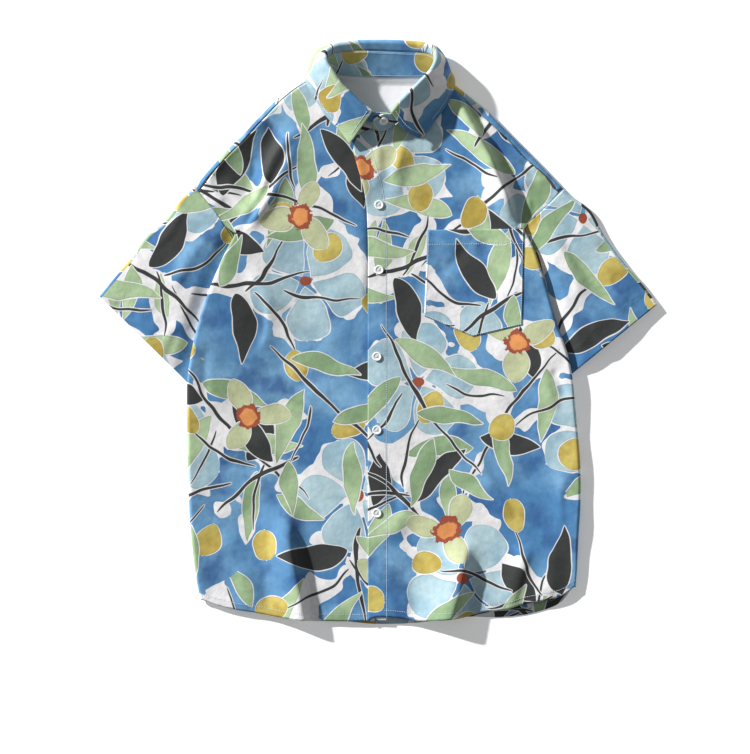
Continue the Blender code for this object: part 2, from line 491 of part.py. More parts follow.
def front(hem, centre, neck, shoulder, side, notch, chest, edge, upper, turn):
    share = share_of(side, notch)
    rows = np.concatenate([
        np.linspace(0, share - NICK / length(side), BELOW), np.linspace(share, 1, ARMHOLE + 1)])
    outline = along(side, rows)
    inner = inward(outline, turn)
    outline = outline + inner * SEAM
    edge = np.array(edge)[np.argsort([row[0] for row in edge])]
    low, width, end = (np.interp(outline[:, 1], edge[:, 0], edge[:, k]) for k in range(1, 4))
    folded = np.arange(len(rows)) < BELOW
    inset = np.where(folded, (front_height(outline + inner * 4, upper) - low) / 2, FLAT_INSET)
    start = outline + inner * inset[:, None]

    strip = np.linspace(0, PLACKET_WIDTH, 4)
    share = share_of(centre, chest)
    free = along(centre, np.concatenate([
        np.linspace(0, share, BELOW + 1), np.linspace(share, 1, ABOVE + 1)[1:]]))
    hem_part, neck_part = PLACKET_WIDTH / length(hem), PLACKET_WIDTH / length(neck)
    hem_strip, neck_strip = along(hem, strip / length(hem)), along(neck, strip / length(neck))
    seam = ends(free + np.array([turn * PLACKET_WIDTH, 0]), hem_strip[-1], neck_strip[-1])
    plan_strip = plan_patch(hem_strip, neck_strip, free, seam)
    neck_rest = along(neck, np.linspace(neck_part, 1, ARMHOLE - ABOVE + 1))[1:]
    spread = np.linspace(0, 1, ACROSS + 1)
    plan = plan_patch(
        ends(along(hem, hem_part + (1 - hem_part) * spread), seam[0], start[0]),
        ends(along(shoulder, spread), neck_rest[-1], start[-1]),
        np.concatenate([seam, neck_rest]), start)
    whole = np.full((len(rows), 3 + plan.shape[1], 2), np.nan)
    whole[: len(free), :3], whole[:, 3:] = plan_strip[:, :3], plan
    mid = np.concatenate([whole, front_height(whole, upper)[..., None]], axis=2)
    edge_columns = rim(outline, inner, mid[:, -1, 2], low, width, end, folded, inset)
    mid = np.concatenate([mid, edge_columns], axis=1)
    cut = np.zeros((len(rows) - 1, mid.shape[1] - 1), bool)
    cut[BELOW - 1, -8:] = True
    return mid, cut


right, right_cut = front(
    HEM_RIGHT, CENTRE_RIGHT, NECK_RIGHT, SHOULDER_RIGHT, SIDE_RIGHT, 15, 3, EDGE_RIGHT, False, -1)
left, left_cut = front(
    HEM_LEFT, CENTRE_LEFT, NECK_LEFT, SHOULDER_LEFT, SIDE_LEFT, 14, 6, EDGE_LEFT, True, 1)
cloth("front_right", right[:, ::-1], WALL, cut=right_cut[:, ::-1])
cloth("front_left", left, WALL, cut=left_cut)

# ---- placket: the left front's first columns, moved out of its upper side ----
strip_rows = BELOW + ABOVE + 1
strip = (left + normals(left, cut=left_cut) * (WALL / 2 + LIFT + PATCH_WALL / 2))[:strip_rows, :4]
strip[-1] = strip[-1] + (strip[-2] - strip[-1]) * 0.1
cloth("placket", strip, PATCH_WALL)


# ---- back: flat on the surface, its neck edge raised, its shoulders rolled over to the fronts ----
def back():
    rows = np.concatenate([np.linspace(0, 0.42, 6), np.linspace(0.42, 1, 14)[1:]])
    sides = []
    for table, turn in ((BACK_SIDE_RIGHT, -1), (BACK_SIDE_LEFT, 1)):
        curve = along(table, rows)
        sides.append(curve + inward(curve, turn) * SEAM)
    count = (7, 8, 7)
    parts = (BACK_SHOULDER_RIGHT, BACK_NECK, BACK_SHOULDER_LEFT)
    seams = (SHOULDER_RIGHT[::-1], BACK_NECK, SHOULDER_LEFT)
    fold = np.concatenate([along(p, np.linspace(0, 1, c + 1))[(i > 0):] for i, (p, c) in
                           enumerate(zip(parts, count))])
    seam = np.concatenate([along(p, np.linspace(0, 1, c + 1))[(i > 0):] for i, (p, c) in
                           enumerate(zip(seams, count))])
    seam[count[0] + count[1]] = SHOULDER_LEFT[0]
    neck = slice(count[0] + 1, count[0] + count[1])
    step_in = seam - fold
    reach = np.linalg.norm(step_in, axis=1)
    reach[neck] = 1
    step_in = step_in / reach[:, None]
    step_in[neck] = (0, -1)
    reach = reach - 2 * SEAM
    high = front_height(seam)
    rise = np.array(NECK_RISE)
    high[neck] = np.interp(np.linspace(0, 1, count[1] + 1)[1:-1], rise[:, 0], rise[:, 1])
    r = (high - SEAT) / 2
    across = np.minimum(r, reach)
    across[neck] = 12
    start = fold + step_in * across[:, None]
    hem_at = np.concatenate([[0.0], np.cumsum(np.linalg.norm(np.diff(fold, axis=0), axis=1))])
    low_edge = along(BACK_HEM, hem_at / hem_at[-1])
    plan = plan_patch(ends(low_edge, sides[0][0], sides[1][0]), start,
                      ends(sides[0], sides[0][0], start[0]), ends(sides[1], sides[1][0], start[-1]))
    mid = np.concatenate([plan, np.full(plan.shape[:2] + (1,), SEAT)], axis=2)
    more = []
    spare = step((reach - across) / 3)
    for k in range(1, 8):
        turn = math.radians(-90 + 180 * k / 7)
        d, z = across * (1 - math.cos(turn)), SEAT + r + r * math.sin(turn)
        turn = math.radians(min(-90 + 36 * k, 90))
        far = across * (1 - math.cos(turn)) + (reach - across) * max(k - 5, 0) / 2
        d = d + (far - d) * spare
        z = z + (SEAT + r + r * math.sin(turn) - z) * spare
        d[neck] = (across * (1 - k / 7))[neck]
        z[neck] = (SEAT + (high - SEAT) * step(k / 7))[neck]
        more.append(np.column_stack([fold + step_in * d[:, None], z]))
    cut = np.zeros((len(mid) + len(more) - 1, mid.shape[1] - 1), bool)
    cut[len(mid) - 1 :, [count[0], count[0] + count[1] - 1]] = True
    mid = np.concatenate([mid, np.stack(more)])
    cloth("back", mid, WALL, cut=cut)
    return mid


back_mid = back()


# ---- sleeves: flattened tubes, the under layer on the surface ----
def sleeve(name, arm, cuff, over, under, side, notch, turn, out):
    rows = np.linspace(0, 1, 11)
    across = np.linspace(0, 1, 13)
    over_line, under_line = along(over, rows), along(under, rows)
    arm_line = along(arm, across)
    arm_line = arm_line + inward(arm_line, turn) * SEAM
    cuff_line = along(cuff, across)
    over_line = ends(over_line, arm_line[0], cuff_line[0])
    under_line = ends(under_line, arm_line[-1], cuff_line[-1])
    loft = np.array(SLEEVE_LOFT)

    def top(plan):
        share = np.array([[np.interp(s, loft[:, 0], loft[:, k]) for k in range(1, 6)] for s in rows])
        z = np.array([np.interp(across, SLEEVE_ACROSS, row) for row in share])
        z[0] = front_height(plan[0])
        z[1] = (z[1] + z[0]) / 2
        d, _, _ = from_line(plan, side[: notch + 1])
        body = along(side[: notch + 1], np.linspace(0, 1, 60))
        edge = np.interp(plan[..., 1], body[:, 1], body[:, 0])
        inside = (plan[..., 0] - edge) * out > 0
        inside &= plan[..., 1] < body[-1, 1]
        d = np.where(inside, 0, d)
        return SLEEVE_LOW + (np.maximum(z, SLEEVE_LOW) - SLEEVE_LOW) * step(d / TUCK)

    over_in, under_in = inward(over_line, out), inward(under_line, -out)
    z = top(plan_patch(arm_line, cuff_line, over_line, under_line))
    r_over, r_under = (z[:, 0] - SEAT) / 2, (z[:, -1] - SEAT) / 2
    first = over_line + over_in * r_over[:, None]
    last = under_line + under_in * r_under[:, None]
    plan = plan_patch(
        ends(arm_line, first[0], last[0]), ends(cuff_line, first[-1], last[-1]), first, last)
    z = top(plan)
    z[:, 0], z[:, -1] = SEAT + 2 * r_over, SEAT + 2 * r_under
    loops = [np.concatenate([plan[:, j], z[:, j : j + 1]], axis=1) for j in range(len(across))]
    for turn_deg in (45, 0, -45):
        t = math.radians(turn_deg)
        loops.append(np.column_stack([last - under_in * (r_under * math.cos(t))[:, None],
                                      SEAT + r_under + r_under * math.sin(t)]))
    low = np.full(len(rows), SEAT)
    loops += [np.column_stack([plan[:, j], low]) for j in range(len(across) - 1, -1, -2)]
    for turn_deg in (-45, 0, 45):
        t = math.radians(turn_deg)
        loops.append(np.column_stack([first - over_in * (r_over * math.cos(t))[:, None],
                                      SEAT + r_over + r_over * math.sin(t)]))
    tube = np.stack(loops, axis=1)
    if out < 0:
        tube = tube[::-1]
    cloth(name, tube[:, ::-1], WALL, wrap=True)
    return tube


sleeve_right = sleeve(
    "sleeve_right", ARM_RIGHT, CUFF_RIGHT, OVER_RIGHT, UNDER_RIGHT, SIDE_RIGHT, 15, -1, 1)
sleeve_left = sleeve(
    "sleeve_left", ARM_LEFT, CUFF_LEFT, OVER_LEFT, UNDER_LEFT, SIDE_LEFT, 14, 1, -1)


# ---- collar: the stand round the neck, then the fall over the roll ----
neck_edges = {
    "back": back_mid[-1],
    "right": np.concatenate([right[BELOW + ABOVE, :3], right[BELOW + ABOVE :, 3]]),
    "left": np.concatenate([left[BELOW + ABOVE, :3], left[BELOW + ABOVE :, 3]]),
}


def neck_seam(x, y, part):
    """Middle of the stand's lower edge, just over the neck edges it is sewn to."""
    sides = list(neck_edges)
    if part.startswith("over") or part.startswith("under"):
        sides = ["left" if part.startswith("over") else "right"]
    lines = [along(neck_edges[k], np.linspace(0, 1, 200)) for k in sides]
    near = [line[np.linalg.norm(line[:, :2] - (x, y), axis=1) < 5.5, 2] for line in lines]
    z = max(np.concatenate(near)) + WALL / 2 + LIFT + BAND_WALL / 2
    return z + (PATCH_WALL + LIFT if part.startswith("over") else 0)


stand_at = [(*row[1], neck_seam(*row[1], row[0]), *row[2]) for row in COLLAR]
stand_line = through(stand_at, np.linspace(0, len(stand_at) - 1, 2 * len(stand_at) - 1))
stand = np.stack([stand_line[:, :3] + (stand_line[:, 3:] - stand_line[:, :3]) * k / 3 for k in range(4)])
cloth("collar_stand", stand, BAND_WALL)


def section(low, high, rise, radius, half, edge):
    """Across the fall: up from the stand, round the roll, then down to the edge."""
    up = (high - low) / np.linalg.norm(high - low)
    start = high + up * 0.7
    out = half - start
    out = out - up * (out @ up)
    out /= np.linalg.norm(out)
    centre = start + up * rise + out * radius

    def spot(turn):
        return centre + radius * (up * math.sin(turn) - out * math.cos(turn))

    def miss(turn):
        ahead = half - spot(turn)
        return 1 - (up * math.cos(turn) + out * math.sin(turn)) @ ahead / np.linalg.norm(ahead)

    stop = min(np.linspace(1.0, 3.4, 49), key=miss)
    arc = [spot(stop * k / 4) for k in range(5)]
    rest = through([arc[-1], half, edge], [0.4, 0.7, 1, 1.5, 2])
    return np.concatenate([[start], arc, rest])


rows = [(np.array(station[:3]), np.array(station[3:]), *row[3:])
        for row, station in zip(COLLAR, stand_at) if row[3] is not None]
table = [np.concatenate([low, high, [rise, radius], half, edge])
         for low, high, rise, radius, half, edge in rows]
fall_line = through(table, np.linspace(0, len(table) - 1, 2 * len(table) - 1))
fall = np.stack([section(t[:3], t[3:6], t[6], t[7], t[8:11], t[11:]) for t in fall_line], axis=1)
cloth("collar_fall", fall, BAND_WALL)

# ---- pocket: lies on the left front ----
p = np.array(POCKET, float)
shares = np.linspace(0, 1, 9)
top_edge = p[0] + (p[1] - p[0]) * shares[:, None]
tip = (p[3] - p[4])[0] / (p[2] - p[4])[0]
low_edge = np.stack([
    np.interp(shares, [0, tip, 1], [p[4][k], p[3][k], p[2][k]]) for k in (0, 1)], axis=1)
down = np.linspace(0, 1, 9)[:, None]
outer, inner = p[2] + (p[1] - p[2]) * down, p[4] + (p[0] - p[4]) * down
pocket_plan = plan_patch(low_edge, top_edge, inner, outer)
pocket_z = front_height(pocket_plan, True) + WALL / 2 + 2 * LIFT + PATCH_WALL / 2
pocket = np.concatenate([pocket_plan, pocket_z[..., None]], axis=2)
cloth("pocket", pocket, PATCH_WALL)


# ---- buttons: turned discs with a raised rim and four holes ----
def button(name, centre, up):
    turns = 14
    ring = [2 * math.pi * i / turns for i in range(turns)]
    verts = [(0, 0, 0), (0, 0, BUTTON_FLOOR)]
    verts += [(r * math.cos(t), r * math.sin(t), z) for r, z in BUTTON_SECTION for t in ring]
    faces = []
    for i in range(turns):
        k = (i + 1) % turns
        faces.append((0, 2 + k, 2 + i))
        for level in range(len(BUTTON_SECTION) - 1):
            a, b = 2 + level * turns, 2 + (level + 1) * turns
            faces.append((a + i, a + k, b + k, b + i))
        last = 2 + (len(BUTTON_SECTION) - 1) * turns
        faces.append((last + i, last + k, 1))
    disc = solid(name, verts, faces)
    disc.location = Vector(centre) * MM
    disc.rotation_mode = "QUATERNION"
    disc.rotation_quaternion = Vector(up).to_track_quat("Z", "Y")

    pins, sides = [], []
    for x, y in ((-1, -1), (1, -1), (1, 1), (-1, 1)):
        first = len(pins)
        pins += [(x * HOLE_OFFSET + HOLE_RADIUS * math.cos(math.pi * i / 3),
                  y * HOLE_OFFSET + HOLE_RADIUS * math.sin(math.pi * i / 3), z)
                 for z in (-1.0, 4.0) for i in range(6)]
        sides += [tuple(range(first + 5, first - 1, -1)), tuple(range(first + 6, first + 12))]
        sides += [(first + i, first + (i + 1) % 6, first + 6 + (i + 1) % 6, first + 6 + i)
                  for i in range(6)]
    cutter = solid(name + "_holes", pins, sides)
    cutter.parent = disc
    cutter.hide_render = True
    cutter.display_type = "WIRE"
    cut = disc.modifiers.new("holes", "BOOLEAN")
    cut.operation, cut.solver, cut.object = "DIFFERENCE", "EXACT", cutter


number = 0
for x, y, seat in BUTTONS:
    if seat == "stand":
        half = stand[:, stand.shape[1] * 2 // 3 :]
        up_all = normals(stand)[:, stand.shape[1] * 2 // 3 :]
        d = np.linalg.norm(half[..., :2] - (x, y), axis=2)
        d[half[..., 1] > 300] += 1
        w = np.exp(-((d / 4.0) ** 2))[..., None]
        spot, up = (half * w).sum(axis=(0, 1)) / w.sum(), (up_all * w).sum(axis=(0, 1))
        up = up / np.linalg.norm(up) * (1 if up[2] > 0 else -1)
        button("button_stand", spot + up * (BAND_WALL / 2 + 0.6), up)
        continue
    number += 1
    q = np.array([[x, y], [x + 4, y], [x, y + 4], [x - 4, y], [x, y - 4]])
    z = front_height(q, True)
    up = np.array([(z[3] - z[1]) / 8, (z[4] - z[2]) / 8, 1.0])
    up /= np.linalg.norm(up)
    centre = np.array([x, y, z[0]]) + up * (WALL / 2 + LIFT + PATCH_WALL + 0.7)
    button("button_%d" % number, centre, up)
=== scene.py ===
"""Looks of the laid shirt: printed cloth with its folds, sewing and buttons, on a pale table.

Sizes are in millimetres and become metres where a mesh is made. The frame is the solids' own:
+X to the wearer's left, +Y to the collar, +Z up from the surface that the shirt lies on.
"""
import math

import bmesh
import bpy
import numpy as np
from mathutils import Matrix, Vector


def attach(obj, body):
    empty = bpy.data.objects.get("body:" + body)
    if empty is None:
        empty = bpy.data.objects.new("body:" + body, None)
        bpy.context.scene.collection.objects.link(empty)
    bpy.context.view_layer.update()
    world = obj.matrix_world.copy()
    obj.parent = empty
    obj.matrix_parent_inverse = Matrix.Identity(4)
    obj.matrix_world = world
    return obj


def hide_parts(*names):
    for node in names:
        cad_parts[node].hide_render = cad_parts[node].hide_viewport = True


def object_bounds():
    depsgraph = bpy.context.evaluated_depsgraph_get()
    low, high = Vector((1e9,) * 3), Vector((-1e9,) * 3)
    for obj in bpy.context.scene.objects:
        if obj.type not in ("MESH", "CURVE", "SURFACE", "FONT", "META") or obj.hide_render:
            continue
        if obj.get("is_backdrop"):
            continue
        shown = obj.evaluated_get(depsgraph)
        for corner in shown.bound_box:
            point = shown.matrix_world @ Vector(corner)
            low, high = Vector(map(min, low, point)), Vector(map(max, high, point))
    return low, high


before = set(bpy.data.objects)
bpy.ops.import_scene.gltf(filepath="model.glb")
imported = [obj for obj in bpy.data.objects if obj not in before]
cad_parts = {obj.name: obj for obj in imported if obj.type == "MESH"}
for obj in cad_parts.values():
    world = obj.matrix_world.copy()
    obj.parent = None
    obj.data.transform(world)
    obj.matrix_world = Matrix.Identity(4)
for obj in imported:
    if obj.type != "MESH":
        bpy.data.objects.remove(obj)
solid_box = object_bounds()

# ---------------------------------------------------------------------------------------------
# The printed cloth: thin plain weave, its right side printed with a watercolour of leaf sprays,
# open blossoms and round buds on a washed blue ground. Every piece is cut from it, so its print is
# a shader group that reads the piece's own flat pattern, and the lengths here are in metres.
# ---------------------------------------------------------------------------------------------
MM = 0.001
INK_EDGE = 0.0003          # how soft the edge of a printed shape is
OUTLINE = 0.0013           # bare cloth left round each printed shape
PETAL_OUTLINE, STEM_OUTLINE = 0.0016, 0.001
POOLED = 0.0016            # ink gathers this near a shape's edge
POOLED_SHARE = 0.30        # and darkens it by this share
BRUSH_WOBBLE = 0.012       # how far a brushed edge strays


def paint(red, green, blue):
    """A colour from the paint chart, 0 to 255, as the shader wants it."""
    return tuple(((c / 255 + 0.055) / 1.055) ** 2.4 for c in (red, green, blue)) + (1.0,)


GROUND = paint(70, 124, 172)
GROUND_PALE = paint(120, 168, 204)
GROUND_DEEP = paint(50, 94, 148)
BARE = paint(231, 229, 230)
PETAL = paint(176, 202, 210)
PETAL_DEEP = paint(150, 182, 196)
GREEN = paint(174, 197, 155)
GREEN_DEEP = paint(134, 163, 122)
CHARCOAL = paint(52, 55, 54)
OCHRE = paint(202, 184, 98)
OCHRE_DEEP = paint(176, 154, 70)
SEPAL = paint(192, 198, 156)
ORANGE = paint(226, 150, 88)
RUST = paint(160, 78, 54)

# the motifs, in millimetres and degrees: kind, base x, y, turn, length, width, bend, belly,
# roundness
SPRAY = [
    ("stem", -120, -24, 8, 232, 2.2, 50, 0.9, 0.4),
    ("stem", -26, -20, -40, 74, 1.6, -12, 0.9, 0.4),
    ("green", -92, -14, 58, 92, 12.0, -16, 0.8, 1.0),
    ("green", -46, -16, -64, 98, 12.5, 20, 0.8, 1.0),
    ("green", 4, -5, 80, 84, 11.0, -18, 0.8, 1.0),
    ("green", 44, 6, -40, 90, 12.0, 16, 0.8, 1.0),
    ("green", 84, 20, 36, 66, 10.0, 8, 0.8, 1.0),
    ("dark", -72, -18, -122, 70, 15.0, 10, 0.9, 0.9),
    ("dark", 26, 2, 122, 76, 15.5, 12, 0.9, 0.9),
]
BUDS = [
    ("stem", -96, -62, 34, 128, 2.8, 34, 0.8, 0.4),
    ("stem", -44, -32, 2, 92, 2.0, -30, 0.8, 0.4),
    ("stem", -54, -40, 78, 84, 2.0, 26, 0.8, 0.4),
    ("stem", -16, -4, 20, 96, 2.0, 22, 0.8, 0.4),
    ("bud", -10, 54, 88, 42, 16.0, 0, 1.15, 0.45),
    ("bud", -76, 42, 104, 40, 15.0, 0, 1.15, 0.45),
    ("bud", 40, -58, -32, 42, 15.0, 0, 1.15, 0.45),
    ("bud", 70, 44, 42, 40, 15.5, 0, 1.15, 0.45),
    ("dark", -62, -48, -30, 92, 15.5, -22, 0.8, 0.9),
    ("green", -84, -54, 96, 70, 11.0, 16, 0.8, 1.0),
]
# one petal repeated round, in millimetres: petals, how far from the middle, length, width, belly
ROUND_MOTIFS = {"blossom": (5, 9, 68, 28, 1.6), "sepals": (3, 6, 46, 14, 1.0)}
PETAL_ROUNDNESS = 0.55
BLOSSOM_HEART = 0.007      # radius of the rust dot in a blossom
# how the motifs repeat, from the first laid: cell and turn, shift, how far each strays
REPEATS = [
    ("blossom", 252, 17, (40, 90), 0.10), ("leaf spray", 268, -31, (130, 20), 0.06),
    ("bud spray", 236, 48, (20, 150), 0.05), ("leaf spray", 292, 74, (70, 60), 0.08),
    ("sepals", 250, -12, (160, 110), 0.16)]


def group(name, inputs, outputs):
    """A shader group with its sockets: (name, kind, value) each; kind is Float, Vector or Color."""
    tree = bpy.data.node_groups.new(name, "ShaderNodeTree")
    for direction, sockets in (("INPUT", inputs), ("OUTPUT", outputs)):
        for label, kind, value in sockets:
            socket = tree.interface.new_socket(
                name=label, in_out=direction, socket_type="NodeSocket" + kind)
            if value is not None:
                socket.default_value = value
    return tree, tree.nodes.new("NodeGroupInput").outputs, tree.nodes.new("NodeGroupOutput").inputs


def feed(tree, socket, value):
    """Join a socket to another, or give it a value."""
    if isinstance(value, bpy.types.NodeSocket):
        tree.links.new(value, socket)
    elif value is not None:
        socket.default_value = value


def node(tree, kind, *values, out=0, **settings):
    """A node with its settings and inputs, a socket or a number each; gives one of its outputs."""
    made = tree.nodes.new("ShaderNode" + kind)
    for key, value in settings.items():
        setattr(made, key, value)
    for socket, value in zip(made.inputs, values):
        feed(tree, socket, value)
    return made.outputs[out]


def add_group(tree, name, **values):
    """A shader group placed in a tree, its inputs by name; gives its outputs."""
    made = tree.nodes.new("ShaderNodeGroup")
    made.node_tree = bpy.data.node_groups[name]
    for key, value in values.items():
        feed(tree, made.inputs[key], value)
    return made.outputs


def maths(tree, operation, a, b=None, c=None, clamp=False):
    return node(tree, "Math", a, b, c, operation=operation, use_clamp=clamp)


def vectors(tree, operation, a, b=None):
    return node(tree, "VectorMath", a, b, operation=operation)


def scaled(tree, vector, factor):
    return node(tree, "VectorMath", vector, None, None, factor, operation="SCALE")


def turned(tree, vector, angle):
    """A vector turned in the cloth's plane."""
    return node(tree, "VectorRotate", vector, None, None, angle, rotation_type="Z_AXIS")


def parts(tree, vector):
    return node(tree, "SeparateXYZ", vector).node.outputs


def between(tree, value, low, high, at_low=0.0, at_high=1.0):
    """A value read on a straight ramp from one number to another, level past them."""
    return node(tree, "MapRange", value, low, high, at_low, at_high)


def mix(tree, factor, under, over):
    """The colour under with the colour over laid on it."""
    made = tree.nodes.new("ShaderNodeMix")
    made.data_type = "RGBA"
    for k, value in ((0, factor), (6, under), (7, over)):
        feed(tree, made.inputs[k], value)
    return made.outputs[2]


def inside(tree, distance, edge=0.0):
    """1 where a distance is under the edge, 0 past it."""
    return between(tree, distance, edge + INK_EDGE, edge - INK_EDGE)


# one leaf, petal, bud or stem: how far a point is from its outline, negative inside
blade, given, result = group(
    "blade",
    [("Point", "Vector", None), ("Base", "Vector", None), ("Turn", "Float", 0.0),
     ("Length", "Float", 0.05), ("Width", "Float", 0.01), ("Bend", "Float", 0.0),
     ("Belly", "Float", 0.85), ("Roundness", "Float", 1.0)],
    [("Distance", "Float", None)])
placed = vectors(blade, "SUBTRACT", given["Point"], given["Base"])
x, y, _ = parts(blade, turned(blade, placed, maths(blade, "MULTIPLY", given["Turn"], -1.0)))
share = maths(blade, "DIVIDE", x, given["Length"], clamp=True)
swell = maths(blade, "MULTIPLY", maths(blade, "POWER", share, given["Belly"]), math.pi)
swell = maths(blade, "MAXIMUM", maths(blade, "SINE", swell), 0.0)
half = maths(blade, "MULTIPLY", maths(blade, "POWER", swell, given["Roundness"]), given["Width"])
bow = maths(blade, "MULTIPLY", maths(blade, "MULTIPLY", share, share), given["Bend"])
aside = maths(blade, "ABSOLUTE", maths(blade, "SUBTRACT", y, bow))
past_tip = maths(blade, "MAXIMUM", maths(blade, "SUBTRACT", x, given["Length"]), 0.0)
past = maths(blade, "MAXIMUM", maths(blade, "MULTIPLY", x, -1.0), past_tip)
distance = maths(blade, "ADD", maths(blade, "SUBTRACT", aside, half), past)
blade.links.new(distance, result["Distance"])

# where each repeat of a motif stands: a brick lattice, each motif turned and shifted in its cell
scatter, given, result = group(
    "scatter",
    [("Cloth", "Vector", None), ("Cell", "Float", 0.2), ("Lattice", "Float", 0.0),
     ("Shift", "Vector", None), ("Wander", "Float", 0.06)],
    [("Local", "Vector", None)])
moved = vectors(scatter, "ADD", turned(scatter, given["Cloth"], given["Lattice"]), given["Shift"])
along_row, row, _ = parts(scatter, scaled(scatter, moved, maths(scatter, "DIVIDE", 1.0, given["Cell"])))
odd = maths(scatter, "FLOORED_MODULO", maths(scatter, "FLOOR", row), 2.0)
bricks = node(scatter, "CombineXYZ", maths(scatter, "MULTIPLY_ADD", odd, 0.5, along_row), row, 0.0)
cell = vectors(scatter, "FLOOR", bricks)
centred = vectors(scatter, "SUBTRACT", vectors(scatter, "SUBTRACT", bricks, cell), (0.5, 0.5, 0.0))
seed = vectors(scatter, "ADD", cell, given["Shift"])
dice = node(scatter, "TexWhiteNoise", seed, noise_dimensions="3D").node.outputs
wander = vectors(scatter, "SUBTRACT", dice["Color"], (0.5, 0.5, 0.5))
strayed = vectors(scatter, "SUBTRACT", centred, scaled(scatter, wander, given["Wander"]))
flat = vectors(scatter, "MULTIPLY", scaled(scatter, strayed, given["Cell"]), (1, 1, 0))
swung = turned(scatter, flat, maths(scatter, "MULTIPLY", dice["Value"], math.tau))
scatter.links.new(swung, result["Local"])


def motif(name, rows):
    """A group that gives the distance to each kind of shape of one motif."""
    kinds = list(dict.fromkeys(row[0] for row in rows))
    tree, given, result = group(
        name, [("Local", "Vector", None)], [(kind, "Float", None) for kind in kinds])
    for kind in kinds:
        nearest = None
        for _, x, y, turn, length, width, bend, belly, roundness in (r for r in rows if r[0] == kind):
            found = add_group(
                tree, "blade", Point=given["Local"], Base=(x * MM, y * MM, 0), Turn=math.radians(turn),
                Length=length * MM, Width=width * MM, Bend=bend * MM, Belly=belly,
                Roundness=roundness)[0]
            nearest = found if nearest is None else maths(tree, "MINIMUM", nearest, found)
        tree.links.new(nearest, result[kind])


motif("leaf spray", SPRAY)
motif("bud spray", BUDS)

# the open blossom and the small orange head
for name, (petals, base, size, width, belly) in ROUND_MOTIFS.items():
    tree, given, result = group(
        name, [("Local", "Vector", None)], [("petal", "Float", None), ("radius", "Float", None)])
    apart = parts(tree, given["Local"])
    sector = math.tau / petals
    angle = maths(tree, "DIVIDE", maths(tree, "ARCTAN2", apart[1], apart[0]), sector)
    folded = maths(tree, "MULTIPLY", maths(tree, "SUBTRACT", maths(tree, "FRACT", angle), 0.5), sector)
    radius = node(tree, "VectorMath", given["Local"], operation="LENGTH", out=1)
    point = node(tree, "CombineXYZ", maths(tree, "MULTIPLY", radius, maths(tree, "COSINE", folded)),
                 maths(tree, "MULTIPLY", radius, maths(tree, "SINE", folded)), 0.0)
    petal = add_group(
        tree, "blade", Point=point, Base=(base * MM, 0, 0), Turn=0.0, Length=size * MM,
        Width=width * MM, Bend=0.0, Belly=belly, Roundness=PETAL_ROUNDNESS)[0]
    tree.links.new(petal, result["petal"])
    tree.links.new(radius, result["radius"])

# the whole print: washed ground, bare patches, then each motif laid over with its bare outline
ink, given, result = group("watercolour print", [("Cloth", "Vector", None)], [("Color", "Color", None)])


def cloud(size, detail=2.0, out="Fac", distortion=0.0):
    """Uneven wash over the cloth, in patches of about one size in millimetres."""
    return node(ink, "TexNoise", given["Cloth"], None, 1000 / size, detail, None, None, None, None,
                distortion, noise_dimensions="2D", out=out)


def laid(name, cell, lattice, shift, wander):
    """A motif's distances over the cloth, repeated on its lattice."""
    place = add_group(ink, "scatter", Cloth=brush, Cell=cell * MM, Lattice=math.radians(lattice),
                      Shift=(shift[0] * MM, shift[1] * MM, 0), Wander=wander)
    return add_group(ink, name, Local=place["Local"])


def over(colour, distance, shape_colour, bare=OUTLINE):
    """A printed shape over the colour so far, its edge darker, a rim of bare cloth round it."""
    if bare:
        colour = mix(ink, inside(ink, distance, bare), colour, BARE)
    pooled = between(ink, distance, -POOLED, 0.0, 0.0, POOLED_SHARE)
    shape = mix(ink, pooled, shape_colour, CHARCOAL)
    return mix(ink, inside(ink, distance), colour, shape)


wobble = vectors(ink, "SUBTRACT", cloud(40, 0.6, "Color"), (0.5, 0.5, 0.5))
wobble = vectors(ink, "MULTIPLY", wobble, (BRUSH_WOBBLE, BRUSH_WOBBLE, 0.0))
brush = vectors(ink, "ADD", given["Cloth"], wobble)
wash, grain, pool = cloud(130, 4.0, distortion=0.6), cloud(8, 5.0), cloud(46, 3.0)
colour = mix(ink, between(ink, wash, 0.40, 0.66), GROUND, GROUND_PALE)
colour = mix(ink, between(ink, pool, 0.5, 0.7, 0.0, 0.8), colour, GROUND_DEEP)
petal_tone = mix(ink, between(ink, pool, 0.4, 0.62), PETAL, PETAL_DEEP)
green_tone = mix(ink, between(ink, wash, 0.4, 0.6), GREEN, GREEN_DEEP)
ochre_tone = mix(ink, between(ink, pool, 0.42, 0.6), OCHRE, OCHRE_DEEP)
blossom, spray, buds, second, head = [laid(*row) for row in REPEATS]

# bare cloth left in ragged patches round the stems, the blossoms and the heads
patchy = maths(ink, "MULTIPLY_ADD", cloud(64, 1.3, distortion=0.5), 0.11, -0.060)
for distance in (buds["stem"], blossom["petal"], spray["stem"], head["petal"]):
    colour = mix(ink, inside(ink, maths(ink, "ADD", distance, patchy)), colour, BARE)

for distance, tone, bare in (
        (blossom["petal"], petal_tone, PETAL_OUTLINE),
        (maths(ink, "SUBTRACT", blossom["radius"], BLOSSOM_HEART), RUST, 0.0),
        (spray["stem"], CHARCOAL, STEM_OUTLINE), (spray["dark"], CHARCOAL, OUTLINE),
        (spray["green"], green_tone, OUTLINE), (buds["stem"], CHARCOAL, STEM_OUTLINE),
        (buds["dark"], CHARCOAL, OUTLINE), (buds["green"], green_tone, OUTLINE),
        (buds["bud"], ochre_tone, OUTLINE), (second["stem"], CHARCOAL, STEM_OUTLINE),
        (second["green"], green_tone, OUTLINE), (head["petal"], SEPAL, OUTLINE)):
    colour = over(colour, distance, tone, bare)

